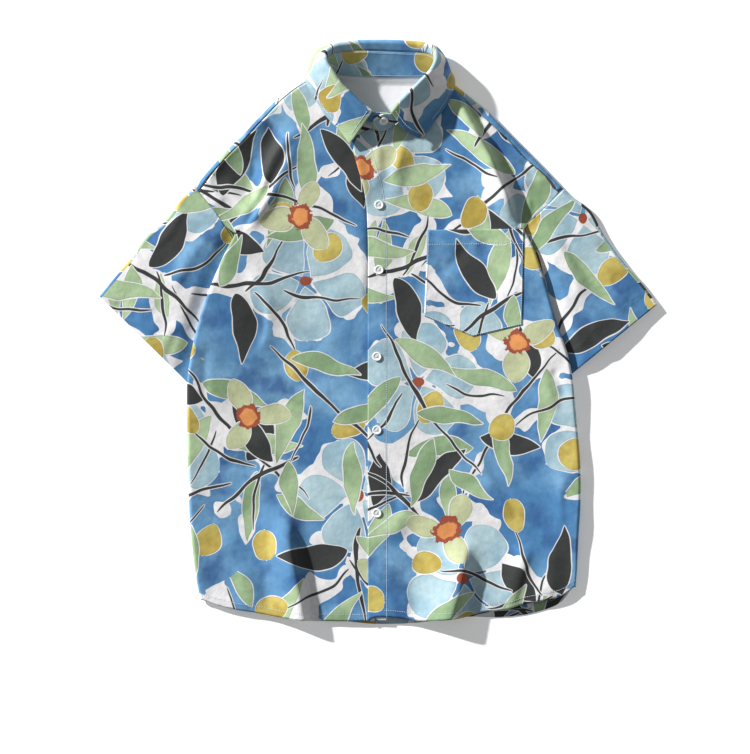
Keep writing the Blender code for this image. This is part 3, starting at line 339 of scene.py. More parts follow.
# the head's two ragged rounds: tone, raggedness, radius
for tone, raggedness, radius in ((RUST, 0.016, 0.0245), (ORANGE, 0.008, 0.0155)):
    ragged = maths(ink, "MULTIPLY_ADD", grain, raggedness, -radius)
    colour = over(colour, maths(ink, "ADD", head["radius"], ragged), tone, 0.0)
speckle = between(ink, grain, 0.3, 0.7, 0.93, 1.07)
ink.links.new(node(ink, "HueSaturation", 0.5, 1.0, speckle, 1.0, colour), result["Color"])

# the cloth's face: plain weave, soft crumple, and the pull of each sewn line
THREAD = 0.0009            # from one thread of the weave to the next
THREAD_RELIEF, CRUMPLE_RELIEF, PUCKER_RELIEF, GROOVE_RELIEF = 0.00005, 0.0011, 0.0011, -0.00035
PUCKER_REACH, GROOVE_REACH = 0.004, 0.0009
RELIEF_SHOWN = 0.6         # share of the relief that the light sees
face, given, result = group(
    "plain weave", [("Cloth", "Vector", None), ("Sewn", "Float", 1.0)], [("Height", "Float", None)])
warp, weft, _ = parts(face, scaled(face, given["Cloth"], math.pi / THREAD))
weave = maths(face, "MULTIPLY", maths(face, "SINE", warp), maths(face, "SINE", weft))
crumple = node(face, "TexNoise", given["Cloth"], None, 55.0, 3.0, noise_dimensions="2D")
pucker = node(face, "TexNoise", given["Cloth"], None, 190.0, noise_dimensions="2D")
near = maths(face, "EXPONENT", maths(face, "DIVIDE", given["Sewn"], -PUCKER_REACH))
groove = maths(face, "POWER", maths(face, "DIVIDE", given["Sewn"], GROOVE_REACH), 2.0)
groove = maths(face, "EXPONENT", maths(face, "MULTIPLY", groove, -1.0))
height = maths(face, "MULTIPLY", weave, THREAD_RELIEF)
for relief, depth in (
        (crumple, CRUMPLE_RELIEF), (maths(face, "MULTIPLY", pucker, near), PUCKER_RELIEF),
        (groove, GROOVE_RELIEF)):
    height = maths(face, "MULTIPLY_ADD", relief, depth, height)
face.links.new(height, result["Height"])


def finish(name, **looks):
    """A material with its shader's own values; gives it with its tree and its shader's inputs."""
    made = bpy.data.materials.new(name)
    made.use_nodes = True
    sockets = made.node_tree.nodes["Principled BSDF"].inputs
    for key, value in looks.items():
        sockets[key.replace("_", " ")].default_value = value
    return made, made.node_tree, sockets


def cloth_finish(name, shift=(0, 0), turn=0, printed=True):
    """The cloth as one piece shows it: where on the roll it was cut from, and which side is out."""
    made, tree, sockets = finish(
        name, Base_Color=BARE, Roughness=0.72, Specular_IOR_Level=0.3, Sheen_Weight=0.12,
        Sheen_Roughness=0.5)
    cut = node(tree, "UVMap", uv_map="cut")
    if printed:
        roll = node(tree, "Mapping", cut, (shift[0] * MM, shift[1] * MM, 0), (0, 0, math.radians(turn)))
        tree.links.new(add_group(tree, "watercolour print", Cloth=roll)[0], sockets["Base Color"])
    sewn = node(tree, "Attribute", out=2, attribute_name="sewn")
    bump = tree.nodes.new("ShaderNodeBump")
    bump.inputs["Strength"].default_value = RELIEF_SHOWN
    bump.inputs["Distance"].default_value = 1.0
    tree.links.new(add_group(tree, "plain weave", Cloth=cut, Sewn=sewn)[0], bump.inputs["Height"])
    tree.links.new(bump.outputs[0], sockets["Normal"])
    return made


wrong_side = cloth_finish("wrong side", printed=False)

# ---------------------------------------------------------------------------------------------
# Right front: one panel of printed cloth from the hem to the shoulder, its centre edge under the
# placket, its side folded round to the back. The cloth's rest on the table is soft: broad waves
# and a few creases that the other pieces follow.
# ---------------------------------------------------------------------------------------------
WALL = 1.0            # cloth with its turned edges, as a solid wall
LIFT = 0.12           # air between two layers that touch
SEAM = 0.06           # half of the groove between two sewn edges, in plan
LAP = WALL + 0.3      # left front over the right one, wall to wall
LAP_EDGE, LAP_FADE = 14.0, 40.0       # it sinks from this x on, over this distance
PLACKET_WIDTH = 26.5  # from the front's free edge to the placket's far one
SEAT = WALL / 2       # middle of cloth lying on the table
FLAT_INSET = 8.0      # strip beside a seamed edge that stays in the plane of its panel
FOLD_INSET = 4.0      # the height of the side fold is read this far inside the outline
BELOW, ARMHOLE, ABOVE = 168, 48, 24   # rows up to the armhole's foot, beside it, up to the neck
ACROSS, RIM = 96, 32                  # columns of the panel and of its side fold
# columns of the placket strip, from the front's edge
STRIP_AT = (0, 1.5, 4, 7, 10, 13, 16, 20, 22.6, 23.8, 24.4, 24.9, 25.4, 25.9, PLACKET_WIDTH)
STRIP = len(STRIP_AT) - 1
NICK = 0.6            # gap in the side fold at the armhole's foot
LINE_SPOTS = 24       # straight lengths in which a crease is read
CURVE_SPOTS = 12      # and in which a curve is measured, for each of its points
HEM_RIGHT = [
    (12.3, -374.7), (-12.3, -375.3), (-58.5, -375.3), (-107.2, -373.4), (-132, -369.6),
    (-157.3, -364.9), (-182.7, -361), (-207.3, -355.8), (-229.5, -348)]
SIDE_RIGHT = [
    (-229.5, -348), (-234.7, -320.7), (-239.3, -285.6), (-243.1, -244), (-245.6, -192),
    (-246.9, -130.9), (-246.9, -88), (-246.3, -62), (-243.1, -36), (-237.2, -7.4),
    (-229.5, 21.2), (-219.1, 52.4), (-207.3, 81), (-195.7, 107), (-188.5, 120),
    (-185.2, 128.1), (-190.5, 132.3), (-199.6, 140.8), (-210, 156.4), (-223, 172),
    (-232.7, 183.4)]
CENTRE_RIGHT = [
    (12.3, -374.7), (11.7, -192), (11.1, 42), (11.1, 168.1), (11.1, 224),
    (11.1, 269.5)]
NECK_RIGHT = [
    (11.1, 269.5), (0.7, 268.7), (-11.1, 271.8), (-24.1, 279.2), (-41, 294.2),
    (-54, 310.4), (-62, 325.4), (-65, 337.7)]
SHOULDER_RIGHT = [
    (-65, 337.7), (-85.2, 328.6), (-103.4, 317.6), (-121.5, 303.6), (-141.1, 284.4),
    (-159.2, 265.2), (-173.6, 249.3), (-194.3, 229.2), (-216.5, 205.1), (-232.7, 183.4)]
# side fold up to the armhole: y, z of the cloth turned under, its width, z at its end
EDGE_RIGHT = [
    (-363.6, 2.6, 6, 2.6), (-296, 2.6, 7, 2.6), (-127, 2.6, 8, 2.6), (-104.9, 4, 8, 2.9),
    (-84.1, 7, 14, 2.8), (-64.6, 7, 21.5, 2.7), (-38.6, 7, 27.5, 2.7), (-0.9, 7, 33, 2.7),
    (35.5, 7, 35, 2.7), (57.6, 7, 38, 2.8), (66.7, 7, 38.5, 4.9), (77.1, 7, 30, 6.9),
    (99.2, 7, 15, 7), (112.2, 6.8, 8, 6.8), (123.9, 6.6, 6, 6.6)]
# height of the front cloth's middle over the table: x, y, z
HEIGHTS = [
    (-226.8, -345.4, 7.5), (-238.6, -285.6, 9.5), (-242.5, -218, 10.4), (-245.1, -130.9, 10.4),
    (-245.1, -81.5, 12.2), (-242.5, -42.5, 13.8), (-233.3, 3, 14), (-221.7, 42, 14),
    (-206.1, 81, 14), (-193.1, 107, 13.4), (-184, 127.8, 9.5), (-199.6, 140.8, 8.6),
    (-217.8, 166.8, 8.4), (-236, 186.9, 8.2), (-194.3, 230.5, 8.6), (-159.2, 265.6, 9),
    (-121.5, 303.9, 9.4), (-85.2, 328.6, 9.6), (-65.7, 337.7, 9.6), (-62.4, 325.4, 10),
    (-54, 310.4, 10.4), (-41, 293.5, 10.8), (-24.1, 277.9, 11), (-11.1, 270.1, 10.6),
    (11.1, 266.2, 10.2), (-0.7, 237, 10.4), (-0.7, 204.5, 9), (-0.7, 165.5, 7.2),
    (-0.7, 120, 6.2), (-0.7, 42, 5.4), (-0.7, -30.8, 5), (-0.7, -127, 4.8),
    (-0.7, -234.9, 5), (-0.7, -296, 5.2), (-0.7, -374, 5.4), (-100.8, -372.7, 5.8),
    (-172.2, -361, 7), (-191.8, -296, 8), (-198.2, -218, 6.8), (-202.2, -127, 6.8),
    (-198.2, -68.5, 9), (-185.2, -10, 11), (-172.2, 42, 11.5), (-163.2, 87.5, 10.8),
    (-155.3, 126.5, 9.8), (-165.8, 185, 8.8), (-146.2, 224, 8.8), (-100.8, 286.4, 9.6),
    (-87.8, 237, 9), (-100.8, 172, 8), (-111.2, 94, 7.4), (-124.2, 3, 6.2),
    (-137.2, -88, 5.2), (-139.8, -192, 5), (-139.8, -283, 5.6), (-61.8, -322, 5.2),
    (-61.8, -218, 4.8), (-61.8, -88, 4.6), (-61.8, 42, 5.4), (-61.8, 133, 6.6),
    (-55.2, 211, 8.6), (254.2, -329.8, 7.5), (258.7, -276.5, 9.5), (260.7, -220.6, 10.4),
    (259.4, -153, 10.4), (254.8, -88, 12.2), (248.3, -49, 13.8), (233.3, 3, 14),
    (217.8, 52.4, 14), (203.5, 97.9, 13.4), (190.5, 133, 9.5), (204.8, 149.9, 8.6),
    (221.7, 166.8, 8.4), (233.3, 181.1, 8.2), (194.3, 224, 8.6), (152.8, 265.6, 9),
    (109.9, 305.9, 9.4), (94.2, 320.2, 9.6), (80.6, 337.7, 9.6), (76, 324.1, 10),
    (65.7, 309.8, 10.4), (50.1, 292.9, 10.8), (34.5, 278.6, 11), (20.8, 269.5, 10.6),
    (250.2, -179, 9.8), (81.2, -372.7, 5.6), (159.2, -361, 6.4), (204.8, -350.6, 7),
    (217.8, -296, 8), (224.2, -218, 6.8), (224.2, -127, 7), (215.2, -68.5, 9.4),
    (198.2, -10, 11), (185.2, 42, 11.4), (174.8, 91.4, 10.6), (164.5, 126.5, 9.6),
    (172.2, 185, 8.8), (152.8, 224, 8.8), (100.8, 282.5, 9.6), (87.8, 237, 9),
    (100.8, 172, 7.8), (109.9, 94, 6.8), (130.7, 3, 5.8), (148.8, -88, 5),
    (152.8, -192, 5), (146.2, -283, 5.6), (61.8, -322, 5.2), (61.8, -218, 4.8),
    (61.8, -88, 4.6), (61.8, 42, 5.2), (61.8, 133, 6.4), (55.2, 211, 8.6)]
# ridges and troughs: name, height, half width left of the line, right of it, line
FOLDS = [
    ("shoulder to side, right", 4.6, 16, 9, [
        (-106, 278.6), (-125.5, 247.4), (-142.3, 213.6), (-156.7, 177.2), (-172.2, 146), (-184, 122.6)]),
    ("shoulder tuck, right", 3.2, 12, 10, [
        (-125.5, 291.6), (-150.2, 261.7), (-178.8, 227.9), (-199.6, 200.6)]),
    ("armhole draw, right", 2.2, 10, 10, [(-202.2, 203.2), (-181.3, 177.2), (-163.2, 140.8)]),
    ("shoulder to side, left", 7.6, 11, 24, [
        (109.9, 294.2), (125.5, 273.4), (146.2, 240.9), (163.2, 205.8), (176.2, 172), (185.2, 143.4)]),
    ("shoulder tuck, left", 1.6, 8, 8, [(165.8, 237), (184, 211), (195.7, 182.4)]),
    ("placket puff", 2.6, 9, 9, [(-33.1, 237), (-26.7, 216.2), (-20.2, 190.2), (-15, 159)]),
    ("placket ridge", 1.8, 7, 7, [(2, 250), (0.7, 217.5), (-2, 182.4)]),
    ("collar draw, left", 2.2, 9, 9, [(41, 247.4), (29.2, 211), (20.2, 165.5)]),
    ("underarm draw, right", 2.2, 14, 14, [(-171, 91.4), (-139.8, 42), (-98.2, 3)]),
    ("underarm draw, left", 1.2, 22, 22, [(181.3, 91.4), (165.8, 47.2), (143.7, 13.4)]),
    ("waist, right", 1.6, 16, 16, [(-212.6, -155.6), (-168.3, -140), (-113.8, -147.8)]),
    ("hem crease, right", 11.5, 14, 27, [
        (-120.2, -218), (-117.7, -270), (-108.5, -322), (-98.2, -376.6), (-89, -426)]),
    ("hem wave, right", 1.8, 14, 14, [(-178.8, -296), (-169.7, -332.4), (-163.2, -364.9)]),
    ("middle wave, left", 1.9, 13, 13, [(43.6, -179), (31.9, -231), (20.2, -276.5)]),
    ("hem wave, left", 2.6, 13, 13, [(195.7, -270), (177.5, -315.5), (163.2, -362.3)]),
    ("corner wave, left", 1.8, 12, 12, [(232.1, -276.5), (226.8, -315.5), (223, -348)]),
    ("chest dent, left", -1.2, 22, 22, [(96.9, 83.6), (128.1, 60.2), (159.2, 42)]),
    ("seat wave, left", 12.5, 15, 34, [
        (115, -263.5), (108.5, -309), (99.5, -350.6), (93, -376.6), (86.5, -428.6)]),
]
# finer creases; those named placket are the upper front's alone, those named lower the lower's
CREASES = [
    ("shoulder roll, right", 3.4, 13, 7, [
        (-137.2, 302), (-165.8, 274.7), (-193.1, 244.8), (-216.5, 217.5), (-232.1, 192.8)]),
    ("shoulder valley, right", -6.2, 6, 36, [
        (-104.7, 277.3), (-117.7, 263), (-129.3, 251.3), (-138.5, 238.3), (-146.2, 224),
        (-154.1, 201.9), (-165.8, 172), (-174.8, 152.5)]),
    ("shoulder fall, right", -2.6, 12, 10, [
        (-125.5, 291.6), (-150.2, 261.7), (-178.8, 227.9), (-199.6, 200.6)]),
    ("ridge foot, right", -3.2, 5, 12, [
        (-126.8, 208.4), (-143.7, 182.4), (-161.8, 156.4), (-178.8, 130.4)]),
    ("shoulder crest, right", 3.6, 10, 5, [
        (-100.8, 250), (-115, 224), (-133.2, 191.5), (-154.1, 156.4), (-173.6, 125.2)]),
    ("shoulder nick, right", -1.7, 4, 6, [(-150.2, 296.8), (-142.3, 278.6), (-128.1, 257.8)]),
    ("shoulder dimple, right", -1.5, 5, 5, [(-165.8, 229.2), (-160.6, 213.6), (-163.2, 195.4)]),
    ("sleeve head, right", 1.5, 5, 7, [(-224.2, 200.6), (-213.8, 185), (-199.6, 164.2)]),
    ("placket hollow", -2.2, 7, 7, [(-47.5, 250), (-37.1, 224), (-27.9, 191.5), (-21.4, 148.6)]),
    ("long wave, right", 1.2, 16, 22, [(-56.6, 55), (-69.5, -23), (-64.4, -127)]),
    ("underarm pull, right", 1.3, 5, 7, [(-172.2, 81), (-150.2, 52.4), (-111.2, 26.4)]),
    ("chest fold, right", 2.2, 12, 5, [(-155.3, 68), (-143.7, 38.1), (-142.3, 3), (-152.8, -30.8)]),
    ("side roll, right", -1.5, 6, 8, [(-220.3, -10), (-224.2, -51.6), (-221.7, -101)]),
    ("waist dimple, right", -1.3, 6, 9, [(-210, -179), (-181.3, -168.6), (-150.2, -176.4)]),
    ("hem crest, right", 3.6, 5, 16, [
        (-115, -233.6), (-112.5, -283), (-103.4, -328.5), (-94.2, -376.6), (-86.5, -423.4)]),
    ("hem hollow, right", -1.6, 8, 8, [(-150.2, -303.8), (-145, -335), (-137.2, -371.4)]),
    ("shoulder crest, left", 11, 5, 15, [
        (91.7, 330.6), (103.4, 305.9), (119, 273.4), (132, 251.3), (144.3, 229.2),
        (154.1, 205.8), (163.2, 185), (171, 166.8), (177.5, 146), (184, 122.6)]),
    ("ridge foot, left", -5.5, 9, 7, [
        (113.8, 311.1), (129.3, 278.6), (142.3, 256.5), (154.7, 234.4), (164.5, 211),
        (173.6, 190.2), (181.3, 172), (187.8, 151.2), (194.3, 127.8)]),
    ("lower lap", -3.4, 9, 6, [(-10.4, 208.4), (-9.1, 172), (-8.5, 120), (-9.1, 68), (-10.4, 3)]),
    ("collar pull, left", 1.8, 5, 6, [(34.5, 252.6), (29.2, 229.2), (17.6, 195.4)]),
    ("chest nick, left", -2, 4, 5, [(76, 242.2), (85.2, 229.2), (82.5, 211)]),
    ("shoulder crumple, left", -1.4, 4, 5, [(186.6, 226.6), (198.2, 208.4), (212.6, 196.7)]),
    ("armhole roll, left", 2, 4, 7, [(194.3, 177.2), (197, 156.4), (194.3, 135.6)]),
    ("pocket dent", -1.9, 8, 10, [(89, 78.4), (102, 94), (116.4, 112.2)]),
    ("pocket dent, upper", -1.3, 6, 8, [(138.5, 125.2), (141.1, 109.6), (133.2, 91.4)]),
    ("waist gather, left", -2.6, 5, 6, [(225.6, -46.4), (236, -64.6), (246.3, -85.4)]),
    ("waist crest, left", 1.8, 5, 9, [(216.5, -54.2), (223, -77.6), (234.7, -101)]),
    ("seat ridge, left", 2.5, 8, 16, [
        (125.5, -150.4), (141.1, -184.2), (158, -216.7), (174.8, -246.6)]),
    ("placket valley, left", -1.9, 7, 9, [(27.9, -181.6), (24.1, -211.5), (29.2, -244)]),
    ("seat crest, left", 4.2, 5, 18, [
        (117.7, -267.4), (111.2, -311.6), (102, -350.6), (94.2, -376.6), (87.8, -426)]),
    ("hem crest, left", 2, 6, 10, [(198.2, -272.6), (186.6, -314.2), (169.7, -366.2)]),
    ("hem hollow, left", -1.6, 8, 8, [(39.6, -319.4), (47.5, -348), (50.1, -376.6)]),
    ("side wave, left", 1.4, 5, 9, [(245.1, -179), (237.2, -218), (241.2, -257)]),
]


def step(x):
    """Ease from 0 to 1."""
    x = np.clip(x, 0.0, 1.0)
    return x * x * (3 - 2 * x)


def walk(line):
    """How far along a line each of its points lies."""
    return np.concatenate([[0.0], np.cumsum(np.linalg.norm(np.diff(line, axis=0), axis=1))])


def through(points, at):
    """Smooth curve through points; at counts points, 1.5 is half way from the second on."""
    p = np.array(points, float)
    d = walk(p)
    slope = np.gradient(p, d, axis=0)
    at = np.asarray(at, float)
    i = np.clip(at.astype(int), 0, len(p) - 2)
    t = (at - i)[:, None]
    h = (d[i + 1] - d[i])[:, None]
    a, b = p[i], p[i + 1]
    return (
        (2 * t**3 - 3 * t**2 + 1) * a + (t**3 - 2 * t**2 + t) * h * slope[i]
        + (3 * t**2 - 2 * t**3) * b + (t**3 - t**2) * h * slope[i + 1]
    )


def along(points, shares):
    """The same curve read at shares of its length."""
    fine = through(points, np.linspace(0, len(points) - 1, CURVE_SPOTS * len(points)))
    d = walk(fine)
    s = np.asarray(shares, float) * d[-1]
    return np.stack([np.interp(s, d, fine[:, k]) for k in range(fine.shape[1])], axis=1)


def length(points):
    return walk(through(points, np.linspace(0, len(points) - 1, CURVE_SPOTS * len(points))))[-1]


def share_of(points, index):
    """Share of a curve's length at which it passes one of its points."""
    return length(points[: index + 1]) / length(points)


def ends(curve, first, last):
    """Move a curve's ends to two points and carry the rest along."""
    t = np.linspace(0, 1, len(curve))[:, None]
    return curve + (1 - t) * (first - curve[0]) + t * (last - curve[-1])


def inward(curve, side):
    """Unit normals of a plan curve, side +1 to its left and -1 to its right."""
    t = np.gradient(curve, axis=0)
    t /= np.linalg.norm(t, axis=1)[:, None]
    return side * np.stack([-t[:, 1], t[:, 0]], axis=1)


def plan_patch(low, high, first, last):
    """Plan grid between four edges: rows go from low to high, columns from first to last."""
    a, b, c, d = (walk(edge) / walk(edge)[-1] for edge in (low, high, first, last))
    u = ((a + b) / 2)[None, :, None]
    v = ((c + d) / 2)[:, None, None]
    return (
        (1 - v) * low[None] + v * high[None] + (1 - u) * first[:, None] + u * last[:, None]
        - (1 - u) * (1 - v) * low[0] - u * (1 - v) * low[-1]
        - (1 - u) * v * high[0] - u * v * high[-1]
    )


PLATE_SCALE, PLATE_EASE = 100.0, 0.0002       # unit of its plan, and how loosely it is held


def plate(points):
    """Height over the plan as a thin plate bent through points."""
    p = np.array(points, float)
    xy, z = p[:, :2] / PLATE_SCALE, p[:, 2]

    def kernel(a, b):
        r2 = ((a[:, None] - b[None]) ** 2).sum(axis=2)
        return r2 * np.log(r2 + 1e-12)

    n = len(p)
    m = np.zeros((n + 3, n + 3))
    m[:n, :n] = kernel(xy, xy) + PLATE_EASE * np.eye(n)
    m[:n, n], m[:n, n + 1 :] = 1, xy
    m[n:, :n] = m[:n, n:].T
    w = np.linalg.solve(m, np.concatenate([z, np.zeros(3)]))

    def height(q):
        q = np.asarray(q, float)
        flat = q.reshape(-1, 2) / PLATE_SCALE
        h = kernel(flat, xy) @ w[:n] + w[n] + flat @ w[n + 1 :]
        return h.reshape(q.shape[:-1])

    return height


FAR = 1000.0          # distance given to spots that are off the cloth, or have no seam near


def from_line(q, points):
    """Distance of plan points from a smooth line, the nearest spot's share of it, which side."""
    line = along(points, np.linspace(0, 1, LINE_SPOTS + 1))
    flat = np.asarray(q, float).reshape(-1, 2)
    start, run = line[:-1], np.diff(line, axis=0)
    off = flat[:, None] - start[None]
    share = np.clip((off * run).sum(axis=2) / (run**2).sum(axis=1), 0, 1)
    d = np.linalg.norm(off - share[..., None] * run, axis=2)
    d[np.isnan(d)] = FAR
    k = d.argmin(axis=1)
    pick = np.arange(len(flat)), k
    left = run[k, 0] * off[pick][:, 1] > run[k, 1] * off[pick][:, 0]
    shape = q.shape[:-1]
    return d[pick].reshape(shape), ((k + share[pick]) / LINE_SPOTS).reshape(shape), left.reshape(shape)


base_height = plate(HEIGHTS)
# waves of the cloth at rest: direction in degrees, length, height, phase
RUMPLE = [(12, 61, 0.35, 0.4), (74, 83, 0.40, 2.1), (128, 47, 0.25, 4.0), (31, 29, 0.12, 1.3)]
SWAY, SWAY_X, SWAY_Y = 9.0, 0.021, 0.017      # how far their crests sway, how soon each way
CREASE_END = 4        # a crease fades out over one part in four of its length, at both ends


def rumple(q):
    """Slow uneven waves of cloth at rest, a few tenths of a millimetre high."""
    x, y = q[..., 0], q[..., 1]
    wave = 0.0
    for angle, period, rise, phase in RUMPLE:
        a = math.radians(angle)
        sway = SWAY * np.sin(SWAY_X * x - SWAY_Y * y + phase)
        run = x * math.cos(a) + y * math.sin(a) + sway
        wave = wave + rise * np.sin(math.tau * run / period + phase)
    return wave


def creased(q, lines):
    """Height that ridges and troughs add over plan points."""
    h = 0.0
    for _, rise, half_left, half_right, line in lines:
        d, s, left = from_line(q, line)
        half = np.where(left, half_left, half_right)
        faded = step(s * CREASE_END) * step((1 - s) * CREASE_END)
        h = h + rise * np.exp(-((d / half) ** 2)) * faded
    return h


def front_height(q, upper=False):
    """Middle of the front cloth over a plan point; the upper front laps over the lower."""
    other = "lower" if upper else "placket"
    lines = [row for row in FOLDS + CREASES if not row[0].startswith(other)]
    h = base_height(q) + rumple(q) + creased(q, lines)
    if upper:
        h = h + LAP * (1 - step((q[..., 0] - LAP_EDGE) / LAP_FADE))
    return h


def normals(mid, cut=None):
    """Unit normals at a grid's points, from the cells round each."""
    a, b, c, d = mid[:-1, :-1], mid[:-1, 1:], mid[1:, 1:], mid[1:, :-1]
    face = np.nan_to_num(np.cross(c - a, d - b))
    if cut is not None:
        face[cut] = 0
    n = np.zeros_like(mid)
    for rows in (slice(None, -1), slice(1, None)):
        for columns in (slice(None, -1), slice(1, None)):
            n[rows, columns] += face
    size = np.linalg.norm(n, axis=2)
    size[size == 0] = 1
    return n / size[..., None]


def reach(grid, axis, far=False):
    """Distance of each grid point from one edge of its grid, walked along the grid."""
    grid = np.flip(grid, axis) if far else grid
    d = np.nan_to_num(np.linalg.norm(np.diff(grid, axis=axis), axis=2))
    walked = np.concatenate([np.zeros_like(np.take(d, [0], axis)), np.cumsum(d, axis)], axis)
    return np.flip(walked, axis) if far else walked


THREAD_LIFT = 0.06    # middle of a stitch over the cloth's face


def seam_line(grid, wall, inside_edge, axis, far=False):
    """Spots on a piece's face along the line that runs inside one of its edges."""
    face = grid + normals(grid) * (wall / 2 + math.copysign(THREAD_LIFT, wall))
    walked = reach(grid, axis, far)
    if axis:
        face, walked = face.transpose(1, 0, 2), walked.T
    if far:
        face, walked = face[::-1], walked[::-1]
    spots = np.array([[np.interp(inside_edge, walked[:, j], face[:, j, k]) for k in range(3)]
                      for j in range(face.shape[1])])
    return spots[np.isfinite(spots).all(axis=1)]


def mesh_of(name, made):
    """What was modelled, as a mesh."""
    mesh = bpy.data.meshes.new(name)
    made.to_mesh(mesh)
    made.free()
    return mesh


def place_piece(name, mesh):
    """A mesh as one piece of the shirt."""
    piece = bpy.data.objects.new(name, mesh)
    bpy.context.scene.collection.objects.link(piece)
    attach(piece, "root")
    return piece


HEM_TURN = 25.0       # cloth turned in at a hem, whose printed side shows within
JOINED = 0.02         # edges of a tube within this distance become one


def lay(name, mid, print_at, wall, finishes, sewn, cut=None, wrap=False,
        inner=1, hem=None):
    """A piece of cloth as a thin wall round its middle grid, printed by its own flat pattern."""
    rows, columns = mid.shape[:2]
    made = bmesh.new()
    bmesh.ops.create_grid(made, x_segments=columns - 1, y_segments=rows - 1, size=1.0)
    mesh = mesh_of(name, made)
    mesh.vertices.foreach_set("co", (np.nan_to_num(mid) * MM).astype(np.float32).ravel())
    corners = np.zeros(len(mesh.loops), np.int32)
    mesh.loops.foreach_get("vertex_index", corners)
    pattern = mesh.uv_layers.new(name="cut")
    pattern.uv.foreach_set(
        "vector", (np.nan_to_num(print_at) * MM).reshape(-1, 2)[corners].astype(np.float32).ravel())
    nearness = mesh.attributes.new("sewn", "FLOAT", "POINT")
    near = np.nan_to_num(sewn, nan=FAR) * MM
    nearness.data.foreach_set("value", near.astype(np.float32).ravel())
    if hem is not None:
        in_hem = (hem[:-1, :-1] + hem[1:, 1:]) / 2 < HEM_TURN
        mesh.polygons.foreach_set("material_index", np.where(in_hem, 2, 0).astype(np.int32).ravel())
        finishes = finishes + finishes[:1] * 2
    made = bmesh.new()
    made.from_mesh(mesh)
    made.verts.ensure_lookup_table()
    made.faces.ensure_lookup_table()
    hole = ~np.isfinite(mid).all(axis=2)
    empty = hole[:-1, :-1] | hole[:-1, 1:] | hole[1:, 1:] | hole[1:, :-1]
    if cut is not None:
        empty |= cut
    gone = [made.faces[k] for k in np.flatnonzero(empty.ravel())]
    bmesh.ops.delete(made, geom=gone, context="FACES")
    if wrap:
        rim_points = [v for v in made.verts if v.is_boundary]
        bmesh.ops.remove_doubles(made, verts=rim_points, dist=JOINED * MM)
    made.to_mesh(mesh)
    made.free()
    mesh.shade_smooth()
    for cloth in finishes:
        mesh.materials.append(cloth)
    piece = place_piece(name, mesh)
    shell = piece.modifiers.new("wall", "SOLIDIFY")
    shell.thickness = wall * MM
    shell.offset = 0.0
    shell.material_offset = inner
    shell.use_rim = True
    return piece


thread, _, _ = finish("sewing thread", Base_Color=paint(206, 220, 232), Roughness=0.6)


def sew(name, lines, pitch=3.0, stitch=2.5, thick=0.26):
    """Stitches along lines of spots on the cloth, each a short round length of thread."""
    made = bmesh.new()
    for line in lines:
        walked = walk(line)
        starts = np.arange(0, walked[-1] - stitch, pitch)
        a, b = (np.stack([np.interp(starts + off, walked, line[:, k]) for k in range(3)], axis=1)
                for off in (0, stitch))
        for first, last in zip(a, b):
            run = Vector(last - first)
            place = Matrix.Translation(Vector((first + last) / 2) * MM)
            place @= run.to_track_quat("Z", "Y").to_matrix().to_4x4()
            bmesh.ops.create_cone(
                made, segments=6, cap_ends=True, radius1=thick * MM, radius2=thick * MM,
                depth=run.length * MM, matrix=place)
    mesh = mesh_of(name, made)
    mesh.shade_smooth()
    mesh.materials.append(thread)
    return place_piece(name, mesh)


# a side fold is walked in eight parts: five round the bend, then three along the cloth turned
# under, at these shares of its width
BEND_PARTS, TURNED_UNDER = 5, (0, 0.5, 0.82, 1)
RIM_PARTS = BEND_PARTS + len(TURNED_UNDER) - 1


def rim(outline, inner, height, low, width, end, folded, inset):
    """Columns that follow a panel's last one: flat out to a seam, or round a fold and back under."""
    r = (height - low) / 2
    columns = []
    for k in np.linspace(0, RIM_PARTS, RIM + 1)[1:]:
        turn = math.radians(max(90 - 180 * k / BEND_PARTS, -90))
        d = r * (1 - math.cos(turn))
        if k > BEND_PARTS:
            d = r + width * np.interp(k, range(BEND_PARTS, RIM_PARTS + 1), TURNED_UNDER)
        z = low + r + r * math.sin(turn)
        z = z + (end - z) * max(k - RIM_PARTS + 1, 0)
        columns.append(np.where(
            folded[:, None], np.column_stack([outline + inner * d[:, None], z]),
            np.column_stack([outline + inner * (inset * (1 - k / RIM_PARTS))[:, None], height])))
    return np.stack(columns, axis=1)


